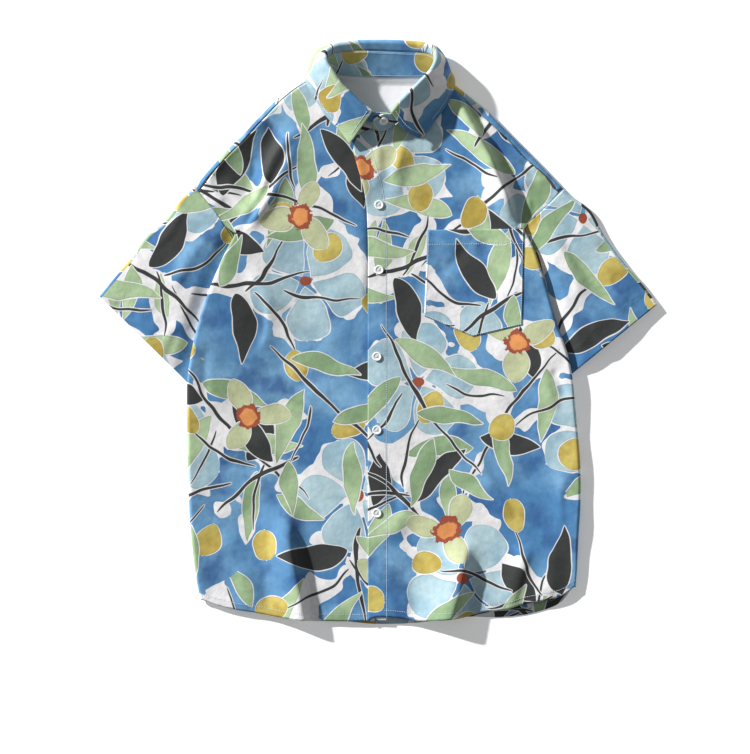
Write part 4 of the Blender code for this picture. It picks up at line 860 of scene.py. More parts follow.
def front(hem, centre, neck, shoulder, side, notch, chest, edge, upper, turn):
    """A front panel: its middle grid, the cells cut at the armhole, and its flat pattern."""
    share = share_of(side, notch)
    rows = np.concatenate([
        np.linspace(0, share - NICK / length(side), BELOW), np.linspace(share, 1, ARMHOLE + 1)])
    outline = along(side, rows)
    inner = inward(outline, turn)
    outline = outline + inner * SEAM
    edge = np.array(edge)[np.argsort([row[0] for row in edge])]
    low, width, end = (np.interp(outline[:, 1], edge[:, 0], edge[:, k]) for k in range(1, 4))
    folded = np.arange(len(rows)) < BELOW
    risen = front_height(outline + inner * FOLD_INSET, upper) - low
    inset = np.where(folded, risen / 2, FLAT_INSET)
    start = outline + inner * inset[:, None]

    strip = np.array(STRIP_AT)
    share = share_of(centre, chest)
    free = along(centre, np.concatenate([
        np.linspace(0, share, BELOW + 1), np.linspace(share, 1, ABOVE + 1)[1:]]))
    hem_part, neck_part = PLACKET_WIDTH / length(hem), PLACKET_WIDTH / length(neck)
    hem_strip, neck_strip = along(hem, strip / length(hem)), along(neck, strip / length(neck))
    seam = ends(free + np.array([turn * PLACKET_WIDTH, 0]), hem_strip[-1], neck_strip[-1])
    plan_strip = plan_patch(hem_strip, neck_strip, free, seam)
    neck_rest = along(neck, np.linspace(neck_part, 1, ARMHOLE - ABOVE + 1))[1:]
    spread = np.linspace(0, 1, ACROSS + 1)
    plan = plan_patch(
        ends(along(hem, hem_part + (1 - hem_part) * spread), seam[0], start[0]),
        ends(along(shoulder, spread), neck_rest[-1], start[-1]),
        np.concatenate([seam, neck_rest]), start)
    whole = np.full((len(rows), STRIP + plan.shape[1], 2), np.nan)
    whole[: len(free), :STRIP], whole[:, STRIP:] = plan_strip[:, :STRIP], plan
    mid = np.concatenate([whole, front_height(whole, upper)[..., None]], axis=2)
    folds = rim(outline, inner, mid[:, -1, 2], low, width, end, folded, inset)
    walked = reach(np.concatenate([mid[:, -1:], folds], axis=1), 1)[:, 1:]
    pattern = np.concatenate([whole, whole[:, -1:] - inner[:, None] * walked[..., None]], axis=1)
    mid = np.concatenate([mid, folds], axis=1)
    cut = np.zeros((len(rows) - 1, mid.shape[1] - 1), bool)
    cut[BELOW - 1, -RIM:] = True
    return mid, cut, pattern


HEM_STITCH = 9.0      # body hem, stitched this far inside its edge
TOP_SEAM = 0.2        # the neck and shoulder seam counts as no nearer than this


def front_seams(grid):
    """How far each spot of a front is from the nearest line that is sewn."""
    near = np.minimum(np.abs(reach(grid, 0) - HEM_STITCH), reach(grid, 0))
    near[BELOW + 1 :] = np.minimum(near, reach(grid, 1, True))[BELOW + 1 :]
    return np.minimum(near, np.maximum(reach(grid, 0, True), TOP_SEAM))


# points of the side and centre lines at the armhole's foot and level with it
RIGHT_NOTCH, RIGHT_CHEST = 15, 3
right, right_cut, right_cloth = front(
    HEM_RIGHT, CENTRE_RIGHT, NECK_RIGHT, SHOULDER_RIGHT, SIDE_RIGHT, RIGHT_NOTCH, RIGHT_CHEST,
    EDGE_RIGHT, False, -1)
right_hem = sew("hem_stitches_right", [seam_line(right[:, ::-1], WALL, HEM_STITCH, 0)])
right_piece = lay(
    "front_right_cloth", right[:, ::-1], right_cloth[:, ::-1], WALL,
    [cloth_finish("printed cloth, right front", (-640, 730)), wrong_side],
    front_seams(right)[:, ::-1],
    cut=right_cut[:, ::-1], hem=reach(right, 0)[:, ::-1])
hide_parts("front_right")

# ---------------------------------------------------------------------------------------------
# Left front: the same panel mirrored, on top at the centre, where its edge carries the placket and
# the buttonholes. It bows away from the button line near the top.
# ---------------------------------------------------------------------------------------------
HEM_LEFT = [
    (-12.3, -374.7), (-4.5, -370.8), (9.8, -369.8), (29.2, -371.4), (52.6, -374.7),
    (81.2, -374), (107.2, -371.4), (141.1, -363), (168.3, -360.4), (189.2, -353.9),
    (219.1, -348), (243.8, -341), (256.8, -331.1)]
SIDE_LEFT = [
    (256.8, -331.1), (258.7, -309), (260, -276.5), (263.2, -220.6), (262.6, -166),
    (260, -133.5), (256.1, -94.5), (252.2, -56.8), (246.3, -28.2), (232.1, 12.1),
    (221.7, 47.2), (211.2, 83.6), (200.8, 112.2), (194.3, 125.2), (189.8, 133.6),
    (198.2, 144.7), (212.6, 157.7), (224.2, 168.7), (234.7, 181.7)]
CENTRE_LEFT = [
    (-12.3, -374.7), (-12.3, -296), (-12.6, -192), (-12.6, -88), (-12.6, 42),
    (-13, 133), (-15, 168.1), (-19.5, 192.8), (-26.7, 217.5), (-31.2, 237),
    (-27.9, 251.3), (-18.9, 259.7), (-8.5, 263.6)]
NECK_LEFT = [
    (-8.5, 263.6), (-0.7, 261), (7.9, 260.7), (20.8, 268.8), (34.5, 277.9),
    (50.1, 292.9), (65.7, 309.8), (76, 324.1), (80.6, 337.7)]
SHOULDER_LEFT = [
    (80.6, 337.7), (94.2, 320.2), (109.9, 305.9), (130.7, 285.7), (152.8, 265.6),
    (171, 248.7), (194.3, 224), (212.6, 207.7), (225.6, 195.4), (234.7, 181.7)]
EDGE_LEFT = [
    (-348, 2.6, 6, 2.6), (-296, 2.6, 7, 2.6), (-120.5, 2.6, 8, 2.6), (-98.4, 4.2, 9, 2.9),
    (-76.3, 7, 17.5, 2.8), (-56.8, 7, 24, 2.7), (-28.2, 7, 29.5, 2.7), (5.6, 7, 31.5, 2.7),
    (39.4, 7, 35.5, 2.7), (62.8, 7, 39, 2.8), (71.9, 7, 39.5, 4.6), (81, 7, 33, 6.9),
    (99.2, 7, 22.5, 7), (113.5, 6.8, 13, 6.8), (129.1, 6.6, 6, 6.6)]
LEFT_NOTCH, LEFT_CHEST = 14, 6
left, left_cut, left_cloth = front(
    HEM_LEFT, CENTRE_LEFT, NECK_LEFT, SHOULDER_LEFT, SIDE_LEFT, LEFT_NOTCH, LEFT_CHEST,
    EDGE_LEFT, True, 1)
left_hem = sew("hem_stitches_left", [seam_line(left, WALL, HEM_STITCH, 0)])
left_piece = lay(
    "front_left_cloth", left, left_cloth, WALL,
    [cloth_finish("printed cloth, left front", (40, 60)), wrong_side], front_seams(left),
    cut=left_cut, hem=reach(left, 0))
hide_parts("front_left")

# ---------------------------------------------------------------------------------------------
# Placket: the button strip down the left front's edge, folded cloth whose print runs on from
# the panel. Its far edge sinks to the panel's face under a close line of pale stitches.
# ---------------------------------------------------------------------------------------------
PLACKET_WALL = 0.35
PLACKET_STITCH = 1.1  # sewn this far inside its far edge
FLUSH, THIN_EDGE = 9.0, 0.04          # it sinks over this distance, to this share of its rise
BEDDED = 0.3          # its stitches are drawn into the cloth by half of this
strip_part = (slice(BELOW + ABOVE + 1), slice(STRIP + 1))
strip = left[strip_part]
from_edge = reach(strip, 1, True)
risen = THIN_EDGE + (1 - THIN_EDGE) * step(from_edge / FLUSH)
strip = strip + normals(left, left_cut)[strip_part] * (
    WALL / 2 - PLACKET_WALL / 2 + (LIFT + PLACKET_WALL) * risen)[..., None]
placket_seam = sew(
    "placket_stitches", [seam_line(strip, PLACKET_WALL - BEDDED, PLACKET_STITCH, 1, True)],
    pitch=3.0, stitch=2.8, thick=0.34)
placket = lay(
    "placket_cloth", strip, left_cloth[strip_part], PLACKET_WALL,
    [bpy.data.materials["printed cloth, left front"]], np.abs(from_edge - PLACKET_STITCH),
    inner=0)
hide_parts("placket")

# ---------------------------------------------------------------------------------------------
# Pocket: a patch of the same cloth with a pointed bottom, on the left chest. Its top hem is
# turned in and stitched across, its other edges are turned under and sewn to the front.
# ---------------------------------------------------------------------------------------------
PATCH_WALL = 0.7
POCKET_GRID = 64      # cells each way
POCKET_HEM, POCKET_STITCH = 19.0, 1.8         # sewn this far inside its top, its other edges
POCKET = [
    (65.4, 133), (190.5, 134.3), (187.8, 9.5), (124.2, -5.5), (60.5, 21.2)]
top_inner, top_outer, low_outer, tip, low_inner = np.array(POCKET, float)
shares = np.linspace(0, 1, POCKET_GRID + 1)
tip_share = (tip - low_inner)[0] / (low_outer - low_inner)[0]
low_edge = np.stack([np.interp(shares, [0, tip_share, 1], spots)
                     for spots in zip(low_inner, tip, low_outer)], axis=1)
pocket_plan = plan_patch(low_edge, *(
    start + (end - start) * shares[:, None]
    for start, end in ((top_inner, top_outer), (low_inner, top_inner), (low_outer, top_outer))))
pocket_z = front_height(pocket_plan, True) + WALL / 2 + LIFT + PATCH_WALL / 2
pocket_mid = np.concatenate([pocket_plan, pocket_z[..., None]], axis=2)
pocket_seams = np.minimum.reduce([
    np.abs(reach(pocket_mid, 0, True) - POCKET_HEM), reach(pocket_mid, 0), reach(pocket_mid, 1),
    reach(pocket_mid, 1, True)])
pocket_seam = sew("pocket_stitches", [
    seam_line(pocket_mid, PATCH_WALL, inside_edge, axis, far)
    for inside_edge, axis, far in (
        (POCKET_HEM, 0, True), (POCKET_STITCH, 0, False), (POCKET_STITCH, 1, False),
        (POCKET_STITCH, 1, True))])
pocket = lay(
    "pocket_cloth", pocket_mid, pocket_plan, PATCH_WALL,
    [cloth_finish("printed cloth, pocket", (215, -38), 3)], pocket_seams,
    inner=0)
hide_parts("pocket")

# ---------------------------------------------------------------------------------------------
# Back: one piece from hem to neck, right side down on the table. Its shoulders roll over to the
# front seams, its neck edge rises to the stand, and its hem is turned up 25 mm inside.
# ---------------------------------------------------------------------------------------------
BACK_CHEST = 0.42     # share of its sides from which its rows lie closer
BACK_ROWS, BACK_COLUMNS = (30, 130), (40, 48, 40)     # below it, above it; shoulder, neck, shoulder
NECK_DEPTH = 12.0     # width of the cloth that rises to the neck edge
BACK_TOP_SEAM = 0.3   # the top edge's seam counts as no nearer than this
# the roll over the shoulders: its rows, its parts, and the room past it in which it lies flat
ROLL, ROLL_PARTS, ROLL_ROOM = 28, 7, 3.0
BACK_HEM = [
    (-226.2, -348), (-182.7, -359.1), (-132, -367.5), (-70.9, -373.7), (-35.8, -376),
    (-12.3, -378.4), (18.9, -378.9), (48.8, -377.6), (81.2, -374), (120.2, -369.5),
    (146.2, -370.4), (167.1, -369.6), (206.1, -363.6), (239.8, -349.3), (252.9, -332.4)]
BACK_SIDE_RIGHT = [
    (-226.2, -348), (-232.1, -315.5), (-236.6, -276.5), (-240.5, -224.5), (-242.1, -166),
    (-242.1, -120.5), (-237.2, -94.5), (-228.2, -76.3), (-217.1, -47.7), (-205.4, -15.2),
    (-185.9, 35.5), (-174.2, 66.7), (-171.5, 77.1), (-174.2, 86.2), (-178.8, 97.2),
    (-184, 114.8), (-190.5, 129.1), (-199.6, 140.8), (-210, 156.4), (-223, 172),
    (-237.2, 188.2)]
BACK_SIDE_LEFT = [
    (252.9, -332.4), (255.5, -276.5), (258.4, -220.6), (258.1, -166), (256.1, -133.5),
    (251.6, -104.9), (242.5, -86.7), (231.4, -67.2), (210.6, -17.8), (189.2, 31.6),
    (172.9, 69.3), (170.2, 79.7), (173, 88.8), (177.5, 99.2), (182.7, 117.4),
    (189.2, 133), (198.2, 144.7), (212.6, 157.7), (224.2, 168.7), (241.2, 185.6)]
BACK_SHOULDER_RIGHT = [
    (-237.2, 188.2), (-218.4, 210.3), (-197.3, 233.7), (-185.2, 246.7), (-174.8, 255.8),
    (-162.4, 269.5), (-143.7, 289), (-124.2, 308.5), (-106, 322.8), (-89, 333.8),
    (-77.4, 339.9), (-67, 343.2)]
BACK_NECK = [
    (-67, 343.2), (-59.1, 339.4), (-48.8, 335.8), (-27.9, 332.2), (-3.2, 331.5),
    (13.7, 331.2), (33.1, 331.1), (54, 330.9), (68.2, 333.8), (76, 338.4),
    (82.5, 343.2)]
BACK_SHOULDER_LEFT = [
    (82.5, 343.2), (91, 331.2), (99.5, 321.5), (109.5, 313.7), (126.8, 300),
    (141.8, 287.7), (154.1, 274.7), (180.1, 248.7), (200.8, 227.9), (221.7, 206.4),
    (241.2, 185.6)]
# height of the neck edge along the neck: share of its length, z
NECK_RISE = [(0, 8.2), (0.1, 6.6), (0.25, 5.2), (0.5, 4.6), (0.75, 5.2), (0.9, 6.6), (1, 8.2)]
rows = np.concatenate([
    np.linspace(0, BACK_CHEST, BACK_ROWS[0] + 1), np.linspace(BACK_CHEST, 1, BACK_ROWS[1] + 1)[1:]])
sides = []
for table, turn in ((BACK_SIDE_RIGHT, -1), (BACK_SIDE_LEFT, 1)):
    curve = along(table, rows)
    sides.append(curve + inward(curve, turn) * SEAM)
fold, seam = (
    np.concatenate([along(edge, np.linspace(0, 1, count + 1))[(k > 0):]
                    for k, (edge, count) in enumerate(zip(edges, BACK_COLUMNS))])
    for edges in ((BACK_SHOULDER_RIGHT, BACK_NECK, BACK_SHOULDER_LEFT),
                  (SHOULDER_RIGHT[::-1], BACK_NECK, SHOULDER_LEFT)))
turn_at = BACK_COLUMNS[0] + BACK_COLUMNS[1]
seam[turn_at] = SHOULDER_LEFT[0]
neck = slice(BACK_COLUMNS[0] + 1, turn_at)
step_in = seam - fold
gap = np.linalg.norm(step_in, axis=1)
gap[neck] = 1
step_in = step_in / gap[:, None]
step_in[neck] = (0, -1)
gap = gap - 2 * SEAM
high = front_height(seam)
rise = np.array(NECK_RISE)
high[neck] = np.interp(np.linspace(0, 1, BACK_COLUMNS[1] + 1)[1:-1], rise[:, 0], rise[:, 1])
r = (high - SEAT) / 2
across = np.minimum(r, gap)
across[neck] = NECK_DEPTH
start = fold + step_in * across[:, None]
low_edge = along(BACK_HEM, walk(fold) / walk(fold)[-1])
plan = plan_patch(ends(low_edge, sides[0][0], sides[1][0]), start,
                  ends(sides[0], sides[0][0], start[0]), ends(sides[1], sides[1][0], start[-1]))
mid = np.concatenate([plan, np.full(plan.shape[:2] + (1,), SEAT)], axis=2)
rolled = []
spare = step((gap - across) / ROLL_ROOM)
for k in np.linspace(0, ROLL_PARTS, ROLL + 1)[1:]:
    # where there is no room past the bend it takes all the parts, elsewhere five, then runs flat
    turn = math.radians(-90 + 180 * k / ROLL_PARTS)
    d, z = across * (1 - math.cos(turn)), SEAT + r + r * math.sin(turn)
    turn = math.radians(min(-90 + 180 * k / BEND_PARTS, 90))
    run = max(k - BEND_PARTS, 0) / (ROLL_PARTS - BEND_PARTS)
    far = across * (1 - math.cos(turn)) + (gap - across) * run
    d = d + (far - d) * spare
    z = z + (SEAT + r + r * math.sin(turn) - z) * spare
    d[neck] = (across * (1 - k / ROLL_PARTS))[neck]
    z[neck] = (SEAT + (high - SEAT) * step(k / ROLL_PARTS))[neck]
    rolled.append(np.column_stack([fold + step_in * d[:, None], z]))
back_cut = np.zeros((len(mid) + ROLL - 1, mid.shape[1] - 1), bool)
back_cut[len(mid) - 1 :, [BACK_COLUMNS[0], turn_at - 1]] = True
back_mid = np.concatenate([mid, rolled])
walked = reach(back_mid[len(mid) - 1 :], 0)[1:]
back_cloth = np.concatenate([plan, plan[-1:] - step_in[None] * walked[..., None]])
back_seams = np.minimum(
    np.abs(reach(back_mid, 0) - HEM_STITCH), np.maximum(reach(back_mid, 0, True), BACK_TOP_SEAM))
back_hem = sew("hem_stitches_back", [
    seam_line(back_mid, wall, HEM_STITCH, 0) for wall in (-WALL, WALL)])
back = lay(
    "back_cloth", back_mid[:, ::-1], back_cloth[:, ::-1], WALL,
    [cloth_finish("printed cloth, back", (-120, 210)), wrong_side], back_seams[:, ::-1],
    cut=back_cut[:, ::-1],
    hem=reach(back_mid, 0)[:, ::-1])
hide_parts("back")

# ---------------------------------------------------------------------------------------------
# Sleeves: one piece each, sewn to a tube along the fold under the arm and set into the armhole,
# pressed flat with a soft loft, the body's side lying over their under edge.
# ---------------------------------------------------------------------------------------------
SLEEVE_ROWS, SLEEVE_COLUMNS, SLEEVE_TURN = 84, 76, 12  # down it, across it, round each fold
SLEEVE_HEM = 23.5     # its cuff, stitched this far inside its edge
ARM_RIGHT = [
    (-237.2, 188.2), (-223, 172), (-210, 156.4), (-199.6, 140.8), (-190.5, 129.1),
    (-184, 114.8), (-178.8, 96.6), (-175.5, 78.4)]
CUFF_RIGHT = [
    (-360.8, 46.5), (-319.2, 6.2), (-276.2, -35.4), (-234.7, -76.3)]
OVER_RIGHT = [
    (-237.2, 188.2), (-254.2, 172), (-272.4, 147.3), (-300.9, 122.6), (-316.6, 100.5),
    (-339.9, 71.9), (-360.8, 46.5)]
UNDER_RIGHT = [
    (-175.5, 78.4), (-195, 27.7), (-215.2, -25.6), (-234.7, -76.3)]
ARM_LEFT = [
    (241.2, 185.6), (233.3, 177.8), (224.2, 168.7), (212.6, 157.7), (198.2, 144.7),
    (189.2, 133), (182.7, 117.4), (177.5, 99.2), (174.2, 81)]
CUFF_LEFT = [
    (363.4, 36), (321.8, 2.5), (278.9, -32.1), (237.2, -65.9)]
OVER_LEFT = [
    (241.2, 185.6), (247.7, 179.8), (276.2, 157.7), (291.9, 129.1), (321.8, 87.5),
    (345.2, 60.2), (363.4, 36)]
UNDER_LEFT = [
    (174.2, 81), (195, 32.2), (216.5, -17.2), (237.2, -65.9)]
# upper layer: share of the way to the cuff, then z at 0, 0.2, 0.45, 0.7, 1 across it
SLEEVE_LOFT = [
    (0.0, 8.2, 8.5, 8.6, 8.0, 4.6),
    (0.3, 7.4, 9.2, 10.4, 9.4, 4.6),
    (0.6, 7.0, 9.0, 10.6, 9.8, 4.6),
    (0.85, 6.8, 8.8, 10.0, 9.0, 4.6),
    (1.0, 6.4, 8.4, 9.4, 8.4, 4.6),
]
SLEEVE_ACROSS = (0.0, 0.2, 0.45, 0.7, 1.0)
# creases of the upper layers, as on the fronts
SLEEVE_FOLDS = [
    ("hem dimple, right", -1.8, 6, 6, [(-339.9, 44.6), (-324.4, 25.1), (-306.2, 18.6)]),
    ("arm ridge, right", 2, 8, 10, [(-202.2, 143.4), (-236, 107), (-269.8, 52.4)]),
    ("cuff wave, right", 1.6, 7, 9, [(-254.2, 18.6), (-272.4, -7.4), (-285.4, -38.6)]),
    ("shoulder draw, right", 1.6, 6, 9, [(-249, 165.5), (-269.8, 130.4), (-295.8, 104.4)]),
    ("arm ridge, left", 2.2, 10, 7, [(206.1, 140.8), (239.8, 104.4), (268.4, 42)]),
    ("arm hollow, left", -1.8, 8, 8, [(237.2, 130.4), (258.1, 91.4), (289.2, 52.4)]),
    ("cuff wave, left", 1.5, 9, 7, [(273.7, 13.4), (289.2, -10), (297.1, -30.8)]),
    ("shoulder draw, left", 1.5, 9, 6, [(245.1, 172), (271.1, 130.4), (297.1, 107)]),
]
SLEEVE_LOW = 4.6      # upper layer where the body lies on it
TUCK = 22.0           # the sleeve sinks to that height over this distance from the body's fold
ARM_PART = 5          # it takes its own height over one part in five from the armhole on
SIDE_SPOTS = 90       # of the body's side that the sleeve is kept under


def sleeve(name, arm, cuff, over, under, side, notch, out, cloth):
    """One sleeve between its four outlines; out is +1 for the right one, -1 for the left."""
    rows = np.linspace(0, 1, SLEEVE_ROWS + 1)
    across = np.linspace(0, 1, SLEEVE_COLUMNS + 1)
    over_line, under_line = along(over, rows), along(under, rows)
    arm_line = along(arm, across)
    arm_line = arm_line + inward(arm_line, -out) * SEAM
    cuff_line = along(cuff, across)
    over_line = ends(over_line, arm_line[0], cuff_line[0])
    under_line = ends(under_line, arm_line[-1], cuff_line[-1])
    at, *lofts = zip(*SLEEVE_LOFT)
    loft = np.stack([np.interp(rows, at, z) for z in lofts], axis=1)
    side = side[: notch + 1]
    body = along(side, np.linspace(0, 1, SIDE_SPOTS))

    def top(plan):
        """Height of the upper layer over the plan."""
        z = np.array([np.interp(across, SLEEVE_ACROSS, row) for row in loft])
        joined = np.clip(1 - rows * ARM_PART, 0, 1)[:, None]
        loose = rumple(plan) + creased(plan, SLEEVE_FOLDS)
        z = z + (front_height(plan[0])[None] - z) * joined + loose * (1 - joined)
        edge = np.interp(plan[..., 1], body[:, 1], body[:, 0])
        covered = ((plan[..., 0] - edge) * out > 0) & (plan[..., 1] < body[-1, 1])
        d = np.where(covered, 0, from_line(plan, side)[0])
        return SLEEVE_LOW + (np.maximum(z, SLEEVE_LOW) - SLEEVE_LOW) * step(d / TUCK)

    over_in, under_in = inward(over_line, out), inward(under_line, -out)
    z = top(plan_patch(arm_line, cuff_line, over_line, under_line))
    r_over, r_under = (z[:, 0] - SEAT) / 2, (z[:, -1] - SEAT) / 2
    first = over_line + over_in * r_over[:, None]
    last = under_line + under_in * r_under[:, None]
    plan = plan_patch(
        ends(arm_line, first[0], last[0]), ends(cuff_line, first[-1], last[-1]), first, last)
    z = top(plan)
    z[:, 0], z[:, -1] = SEAT + 2 * r_over, SEAT + 2 * r_under
    loops = [np.column_stack([plan[:, j], z[:, j]]) for j in range(len(across))]
    bends = np.radians(np.linspace(90, -90, SLEEVE_TURN + 1)[1:-1])

    def bend(line, line_in, r, t):
        """One column of the fold round an edge of the sleeve."""
        return np.column_stack([
            line - line_in * (r * math.cos(t))[:, None], SEAT + r + r * math.sin(t)])

    loops += [bend(last, under_in, r_under, t) for t in bends]
    low = np.full(len(rows), SEAT)
    loops += [np.column_stack([plan[:, j], low]) for j in range(len(across) - 1, -1, -2)]
    loops += [bend(first, over_in, r_over, t) for t in bends[::-1]]
    tube = np.stack(loops + [loops[0]], axis=1)
    # the flat pattern: along the fold over the arm, and round the tube from it
    axis = (over_line[-1] - over_line[0]) / np.linalg.norm(over_line[-1] - over_line[0])
    square = np.array([-axis[1], axis[0]]) * out
    off = tube[..., :2] - over_line[0]
    pattern = np.stack([off @ square, off @ axis], axis=2)
    top_count = len(across)
    walked = reach(tube, 1)
    shift = pattern[:, top_count - 1, 0] - walked[:, top_count - 1]
    pattern[:, top_count:, 0] = walked[:, top_count:] + shift[:, None]
    hem = reach(tube, 0, True)
    seams = np.minimum(np.abs(hem - SLEEVE_HEM), reach(tube, 0))
    stitches = sew(name + "_stitches", [seam_line(tube, WALL * out, SLEEVE_HEM, 0, True)])
    # both sleeves face out, so the left one's grid is read from its other end
    tube, pattern, seams, hem = (grid[::out, ::-1] for grid in (tube, pattern, seams, hem))
    piece = lay(
        name + "_cloth", tube, pattern, WALL, [cloth, wrong_side], seams,
        wrap=True, hem=hem)
    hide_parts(name)


sleeve(
    "sleeve_right", ARM_RIGHT, CUFF_RIGHT, OVER_RIGHT, UNDER_RIGHT, SIDE_RIGHT, RIGHT_NOTCH, 1,
    cloth_finish("printed cloth, right sleeve", (90, 15), 25))
sleeve(
    "sleeve_left", ARM_LEFT, CUFF_LEFT, OVER_LEFT, UNDER_LEFT, SIDE_LEFT, LEFT_NOTCH, -1,
    cloth_finish("printed cloth, left sleeve", (260, 170), -20))

# ---------------------------------------------------------------------------------------------
# Collar stand: the band round the neck, two layers of cloth printed on both sides and sewn along
# both edges. Its left end lies over its right one and is buttoned to it.
# ---------------------------------------------------------------------------------------------
BAND_WALL = 1.4
STAND_STEPS, STAND_ROWS = 10, 16      # from one station to the next, and up the band
NECK_REACH, NECK_SPOTS = 5.5, 200     # how near a neck edge lies under the band, how it is read
BAND_STITCH, ROLL_STITCH = 1.8, 2.6   # sewn this far inside its lower and upper edges
# stations from the stand's under end round the neck to its over end: part, stand at the neck seam
# (x, y), stand top, then the fall: rise over the stand, roll radius, middle, edge
COLLAR = [
    ("under end", (13, 270.5), (13.7, 284.3, 26.5), None, None, None, None),
    ("under", (5.9, 269.5), (6.5, 284.1, 28), None, None, None, None),
    ("under", (-2.6, 270), (-0.3, 283.8, 29.8), None, None, None, None),
    ("front right", (-11.7, 273), (-6.5, 283.9, 31.5),
     2, 1.9, (-21.4, 263.6, 26.5), (-35.8, 243.5, 18)),
    ("right", (-24.1, 279.9), (-18.9, 292.9, 34), 2.4, 2.2, (-33.8, 274, 27.5), (-49.4, 261.7, 16.5)),
    ("right", (-40.6, 294.8), (-35, 307.8, 36), 2.8, 2.4, (-51.4, 289.6, 28.5), (-65.7, 279.2, 14.5)),
    ("right", (-52.9, 311.1), (-48.8, 322.4, 37.5), 3, 2.5, (-66.3, 309.1, 29), (-80.6, 302.6, 13.2)),
    ("right", (-60.7, 324.4), (-57.2, 335.5, 37.5),
     3.2, 2.6, (-77.4, 325.4, 28.5), (-91.3, 320.2, 12.6)),
    ("shoulder right", (-63.3, 333.2), (-64, 346.4, 35.5),
     3.4, 2.8, (-84.5, 340.3, 25), (-93.2, 334.5, 11)),
    ("corner right", (-59.8, 336.3), (-65, 354.6, 32.5),
     4, 3, (-85.8, 353.3, 21.5), (-88.4, 346.2, 7)),
    ("corner right", (-51.4, 335), (-57.9, 360.2, 28.5),
     5.5, 3.4, (-78, 366.3, 16), (-73.5, 352.7, 3.4)),
    ("back right", (-39.6, 333.4), (-46.8, 362.8, 25),
     7.5, 3.6, (-61.1, 372.7, 12.5), (-54, 351.4, 1.8)),
    ("back", (-22.8, 332.2), (-27.3, 364.4, 22), 8.6, 3.8, (-34.5, 374, 11), (-33.1, 349.4, 1.3)),
    ("back", (-4.5, 331.8), (-7.2, 364.4, 20.6), 9, 3.8, (-10.4, 374.3, 10), (-9.8, 348.1, 1.1)),
    ("back", (13.7, 331.5), (13.7, 363.6, 20.2), 9.6, 3.8, (13.7, 374, 9.8), (13.7, 347.5, 1.1)),
    ("back", (31.9, 331.4), (33.1, 362.8, 20.8), 9.6, 3.8, (36.5, 373.2, 10.2), (35.8, 348.1, 1.1)),
    ("back", (50.1, 331.4), (53.3, 361.8, 22.6), 9, 3.8, (59.1, 372.4, 11.2), (57.9, 349.4, 1.4)),
    ("back left", (64.4, 332.4), (67, 359.7, 25.6), 7.5, 3.6, (76.7, 369.6, 13.5), (76, 351.4, 2)),
    ("corner left", (73.2, 334.8), (72.8, 355.6, 29.5), 5.5, 3.4, (85.2, 359.8, 18), (84.5, 349.4, 4)),
    ("shoulder left", (77.1, 331.4), (73.7, 348, 33.5), 4, 3, (91, 347.5, 25), (93.2, 341.6, 9.8)),
    ("left", (74.5, 323.6), (68, 336.1, 36.8), 3.4, 2.7, (84.5, 329.3, 29), (100.2, 327.3, 12.2)),
    ("left", (64.9, 310.3), (56.3, 323.8, 37.6), 3, 2.5, (76, 311.7, 30), (97.5, 310.4, 13)),
    ("left", (49.5, 293.9), (42.2, 309.5, 37), 2.8, 2.4, (63.1, 294.2, 30.5), (86.2, 289.6, 14.2)),
    ("left", (34.7, 279.4), (27.3, 294.4, 35.4), 2.4, 2.2, (49.4, 277.3, 29), (71.5, 270.1, 16)),
    ("front left", (24.7, 271.6), (17.6, 282.6, 33.2), 2, 1.9, (35.8, 261, 28), (56.6, 250.2, 18)),
    ("over", (15.6, 265.1), (10.4, 282.5, 32.6), None, None, None, None),
    ("over", (5.2, 261.2), (2.6, 280.4, 31.6), None, None, None, None),
    ("over end", (-6.9, 264.8), (-5.1, 275.5, 27.5), None, None, None, None),]
NECK_ROW = BELOW + ABOVE
neck_edges = {
    "back": back_mid[-1],
    "right": np.concatenate([right[NECK_ROW, :STRIP], right[NECK_ROW:, STRIP]]),
    "left": np.concatenate([left[NECK_ROW, :STRIP], left[NECK_ROW:, STRIP]]),
}


def neck_seam(x, y, part):
    """Middle of the stand's lower edge, just over the neck edges it is sewn to."""
    over, under = part.startswith("over"), part.startswith("under")
    edges = ["left"] if over else ["right"] if under else neck_edges
    lines = [along(neck_edges[edge], np.linspace(0, 1, NECK_SPOTS)) for edge in edges]
    near = [line[np.linalg.norm(line[:, :2] - (x, y), axis=1) < NECK_REACH, 2] for line in lines]
    z = max(np.concatenate(near)) + WALL / 2 + LIFT + BAND_WALL / 2
    return z + (PATCH_WALL + LIFT if over else 0)


def round_neck(stations):
    """Rows of values at the stations, run on smoothly from one to the next."""
    last = len(stations) - 1
    return through(stations, np.linspace(0, last, STAND_STEPS * last + 1))


stand_at = [(*row[1], neck_seam(*row[1], row[0]), *row[2]) for row in COLLAR]
stand_line = round_neck(stand_at)
stand = np.stack([stand_line[:, :3] + (stand_line[:, 3:] - stand_line[:, :3]) * k / STAND_ROWS
                  for k in range(STAND_ROWS + 1)])


def unrolled(mid):
    """A band's flat pattern: along its length, and across."""
    return np.stack([reach(mid, 1).mean(axis=0)[None].repeat(len(mid), 0), reach(mid, 0)], axis=2)


collar_cloth = cloth_finish("printed cloth, collar", (150, 420), 8)
stand_seam = sew("stand_stitches", [
    seam_line(stand, side * BAND_WALL, edge, 0, far)
    for side in (1, -1) for edge, far in ((BAND_STITCH, False), (ROLL_STITCH, True))])
collar_stand = lay(
    "collar_stand_cloth", stand, unrolled(stand), BAND_WALL, [collar_cloth],
    np.minimum(np.abs(reach(stand, 0) - BAND_STITCH), np.abs(reach(stand, 0, True) - ROLL_STITCH)),
    inner=0)
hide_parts("collar_stand")

